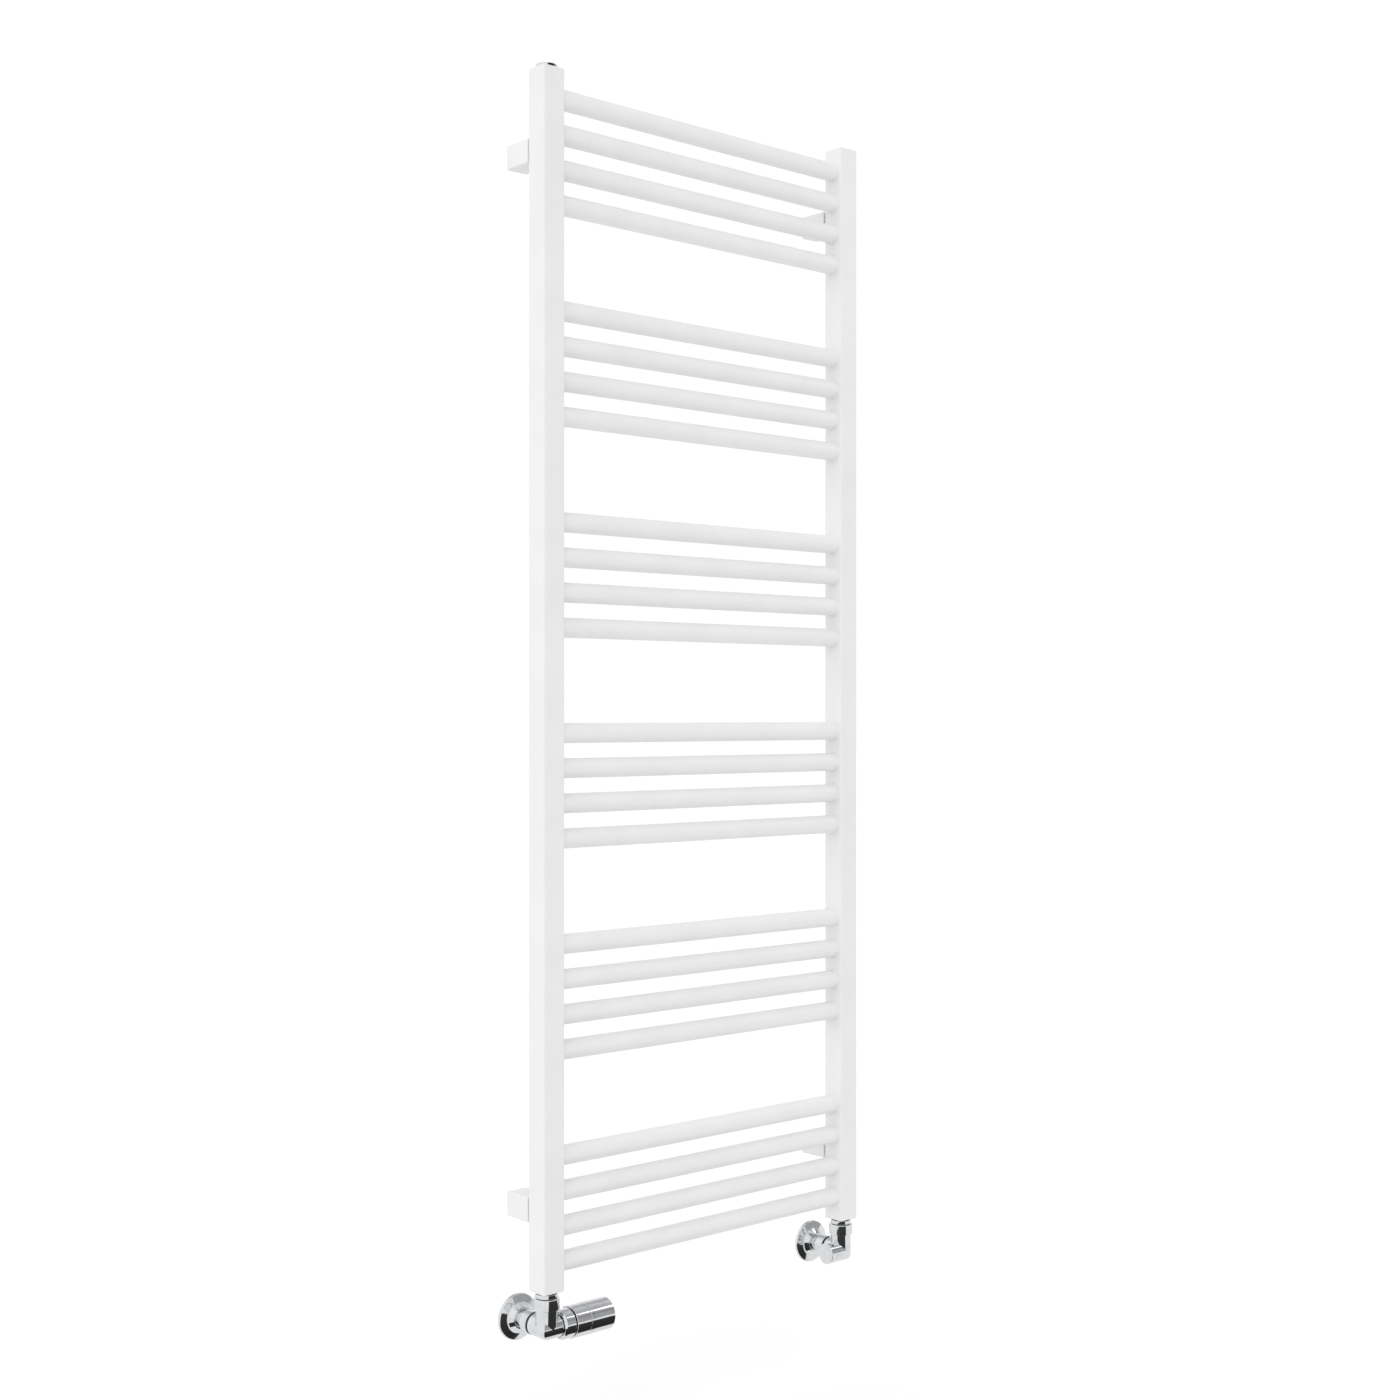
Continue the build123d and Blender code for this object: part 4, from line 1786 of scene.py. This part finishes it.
@dataclass
class Studio:
    """A pale floor and sky, soft lights, dark cards and the camera.

    Radiances are shares of plain white. The room that reflections see is shaded in front and
    overhead on the right, and the floor throws back a little less light than it shows.
    """

    floor_drop: float = 0.12
    floor_size: float = 60.0
    camera_place: tuple[float, float, float] = (-1.4967, -1.7825, -0.0389)
    camera_turn: float = 41.48
    lens: float = 48.43
    shift: tuple[float, float] = (-0.0152, 0.0104)
    sensor_width: float = 36.0
    far_clip: float = 200.0
    card_lift: float = 0.002
    floor_card_low: tuple[float, float] = (-0.42, -1.3)
    floor_card_high: tuple[float, float] = (0.32, -0.10)
    vent_card_low: tuple[float, float, float] = (-0.42, -0.452, 0.79)
    vent_card_high: tuple[float, float, float] = (0.25, -0.45, 0.95)
    front_step: tuple[float, float] = (0.15, -0.35)
    right_step: tuple[float, float] = (-0.35, 0.25)
    low_step: tuple[float, float] = (0.62, 0.42)
    overhead_step: tuple[float, float] = (0.35, 0.6)
    seen_sky: float = 1.02
    fill: float = 1.05
    room_level: float = 0.95
    front_shade: float = 0.55
    overhead_shade: float = 0.45
    sun_from: tuple[float, float, float] = (-0.85, -0.15, 0.5)
    sun_spread: float = 60.0
    sun_strength: float = 0.48
    softbox_place: tuple[float, float, float] = (1.6, -1.1, 1.0)
    softbox_side: float = 0.6
    softbox_radiance: float = 2.5

    def floor(self) -> None:
        """Lay the pale floor."""
        work = bmesh.new()
        drop = Matrix.Translation((0, 0, cad_low.z - self.floor_drop))
        bmesh.ops.create_grid(work, x_segments=1, y_segments=1, size=self.floor_size / 2, matrix=drop)
        material, board = new_board("pale_floor")
        cloud = board.noise(board.place(), 0.8, 2.0)
        seen = board.node("ShaderNodeLightPath", output="Is Camera Ray")
        pale = 0.85 * seen + 0.15 * cloud
        board.surface(
            Base_Color=board.colour(pale, (0.80, 0.80, 0.80), (0.95, 0.95, 0.95)),
            Roughness=1.0,
            Specular_IOR_Level=0.0,
        )
        staged(work, "floor", material, reflected_only=False)

    def card(self, name: str, low: Vector, high: Vector) -> None:
        """Lay one black card that only reflections see.

        Args:
            name: The card's name.
            low: Its lowest corner.
            high: Its highest corner.
        """
        material, board = new_board(name)
        board.surface(Base_Color=(0.01, 0.01, 0.01, 1.0), Roughness=1.0)
        staged(block(low, high), name, material, reflected_only=True)

    def sun(self, name: str, towards: Vector, spread: float, strength: float) -> None:
        """Add one broad, soft light from far away.

        Args:
            name: The light's name.
            towards: The direction from the object to the light.
            spread: How wide the light is, in degrees.
            strength: Its strength in watts for each square metre.
        """
        data = bpy.data.lights.new(name, "SUN")
        data.angle = math.radians(spread)
        data.energy = strength
        lamp = bpy.data.objects.new(name, data)
        lamp.rotation_euler = (-towards).to_track_quat("-Z", "Y").to_euler()
        lamp.visible_glossy = False
        bpy.context.scene.collection.objects.link(lamp)

    def softbox(self, name: str, towards: Vector, size: tuple[float, float], radiance: float) -> None:
        """Hang one glowing panel that only reflections see.

        Args:
            name: The panel's name.
            towards: Where it hangs, from the object's middle.
            size: Its width and height.
            radiance: How bright it is.
        """
        material, board = new_board(name)
        glow = board.node("ShaderNodeEmission", {}, {"Color": (1.0, 1.0, 1.0, 1.0), "Strength": radiance})
        board.node("ShaderNodeOutputMaterial", {}, {"Surface": glow})
        work = bmesh.new()
        bmesh.ops.create_grid(work, x_segments=1, y_segments=1, size=0.5)
        turn = (-towards).to_track_quat("Z", "Y").to_matrix().to_4x4()
        place = Matrix.Translation((cad_low + cad_high) / 2 + towards) @ turn
        stretch = Matrix.Diagonal((*size, 1, 1))
        bmesh.ops.transform(work, matrix=place @ stretch, verts=work.verts[:])
        staged(work, name, material, reflected_only=True)

    def sky(self) -> None:
        """Fill the world with pale light, with a greyer room in front for reflections."""
        world = bpy.data.worlds.new("studio")
        bpy.context.scene.world = world
        world.use_nodes = True
        board = Board(world.node_tree)
        direction = board.node("ShaderNodeTexCoord", output="Generated")
        split = board.node("ShaderNodeSeparateXYZ", {}, {0: direction})
        across, depth, height = (Signal(board, split.socket.node.outputs[k]) for k in range(3))
        front = board.rise(depth, *self.front_step)
        right = board.rise(across, *self.right_step)
        low = board.rise(height, *self.low_step)
        overhead = board.rise(height, *self.overhead_step)
        shade = self.front_shade * (front * low) + self.overhead_shade * overhead
        room = self.room_level - right * shade
        path = board.node("ShaderNodeLightPath", output="Is Camera Ray")
        glossy = board.node("ShaderNodeLightPath", output="Is Glossy Ray")
        unseen = glossy * room + (1 - glossy) * self.fill
        level = path * self.seen_sky + (1 - path) * unseen
        glow = board.node("ShaderNodeBackground", {}, {"Color": (1.0, 1.0, 1.0, 1.0), "Strength": level})
        board.node("ShaderNodeOutputWorld", {}, {"Surface": glow})

    def camera(self) -> None:
        """Set up the camera."""
        data = bpy.data.cameras.new("camera")
        data.lens = self.lens
        data.sensor_width = self.sensor_width
        data.shift_x, data.shift_y = self.shift
        data.clip_end = self.far_clip
        camera = bpy.data.objects.new("camera", data)
        camera.location = self.camera_place
        camera.rotation_euler = (math.pi / 2, 0, -math.radians(self.camera_turn))
        bpy.context.scene.collection.objects.link(camera)
        bpy.context.scene.camera = camera

    def build(self) -> None:
        """Set up the whole studio."""
        view = bpy.context.scene.view_settings
        view.view_transform = "Standard"
        self.floor()
        floor_z = cad_low.z - self.floor_drop
        low = Vector((*self.floor_card_low, floor_z + self.card_lift))
        high = Vector((*self.floor_card_high, floor_z + 2 * self.card_lift))
        self.card("floor_card", low, high)
        self.card("vent_card", Vector(self.vent_card_low), Vector(self.vent_card_high))
        self.sun("left_sun", Vector(self.sun_from), self.sun_spread, self.sun_strength)
        side = (self.softbox_side, self.softbox_side)
        self.softbox("right_softbox", Vector(self.softbox_place), side, self.softbox_radiance)
        self.sky()
        self.camera()


def main() -> None:
    """Build every sub-assembly, then the studio."""
    logging.basicConfig(level=logging.INFO, format="%(name)s: %(message)s")
    palette = Palette()
    sizes = ValveSizes()
    Radiator(palette).build()
    WallBrackets(palette).build()
    AirVent(palette).build()
    ValveFittings(palette, sizes).build()
    ThermostaticValve(palette, sizes).build()
    LockshieldValve(palette, sizes).build()
    Studio().build()


if __name__ == "__main__":
    main()
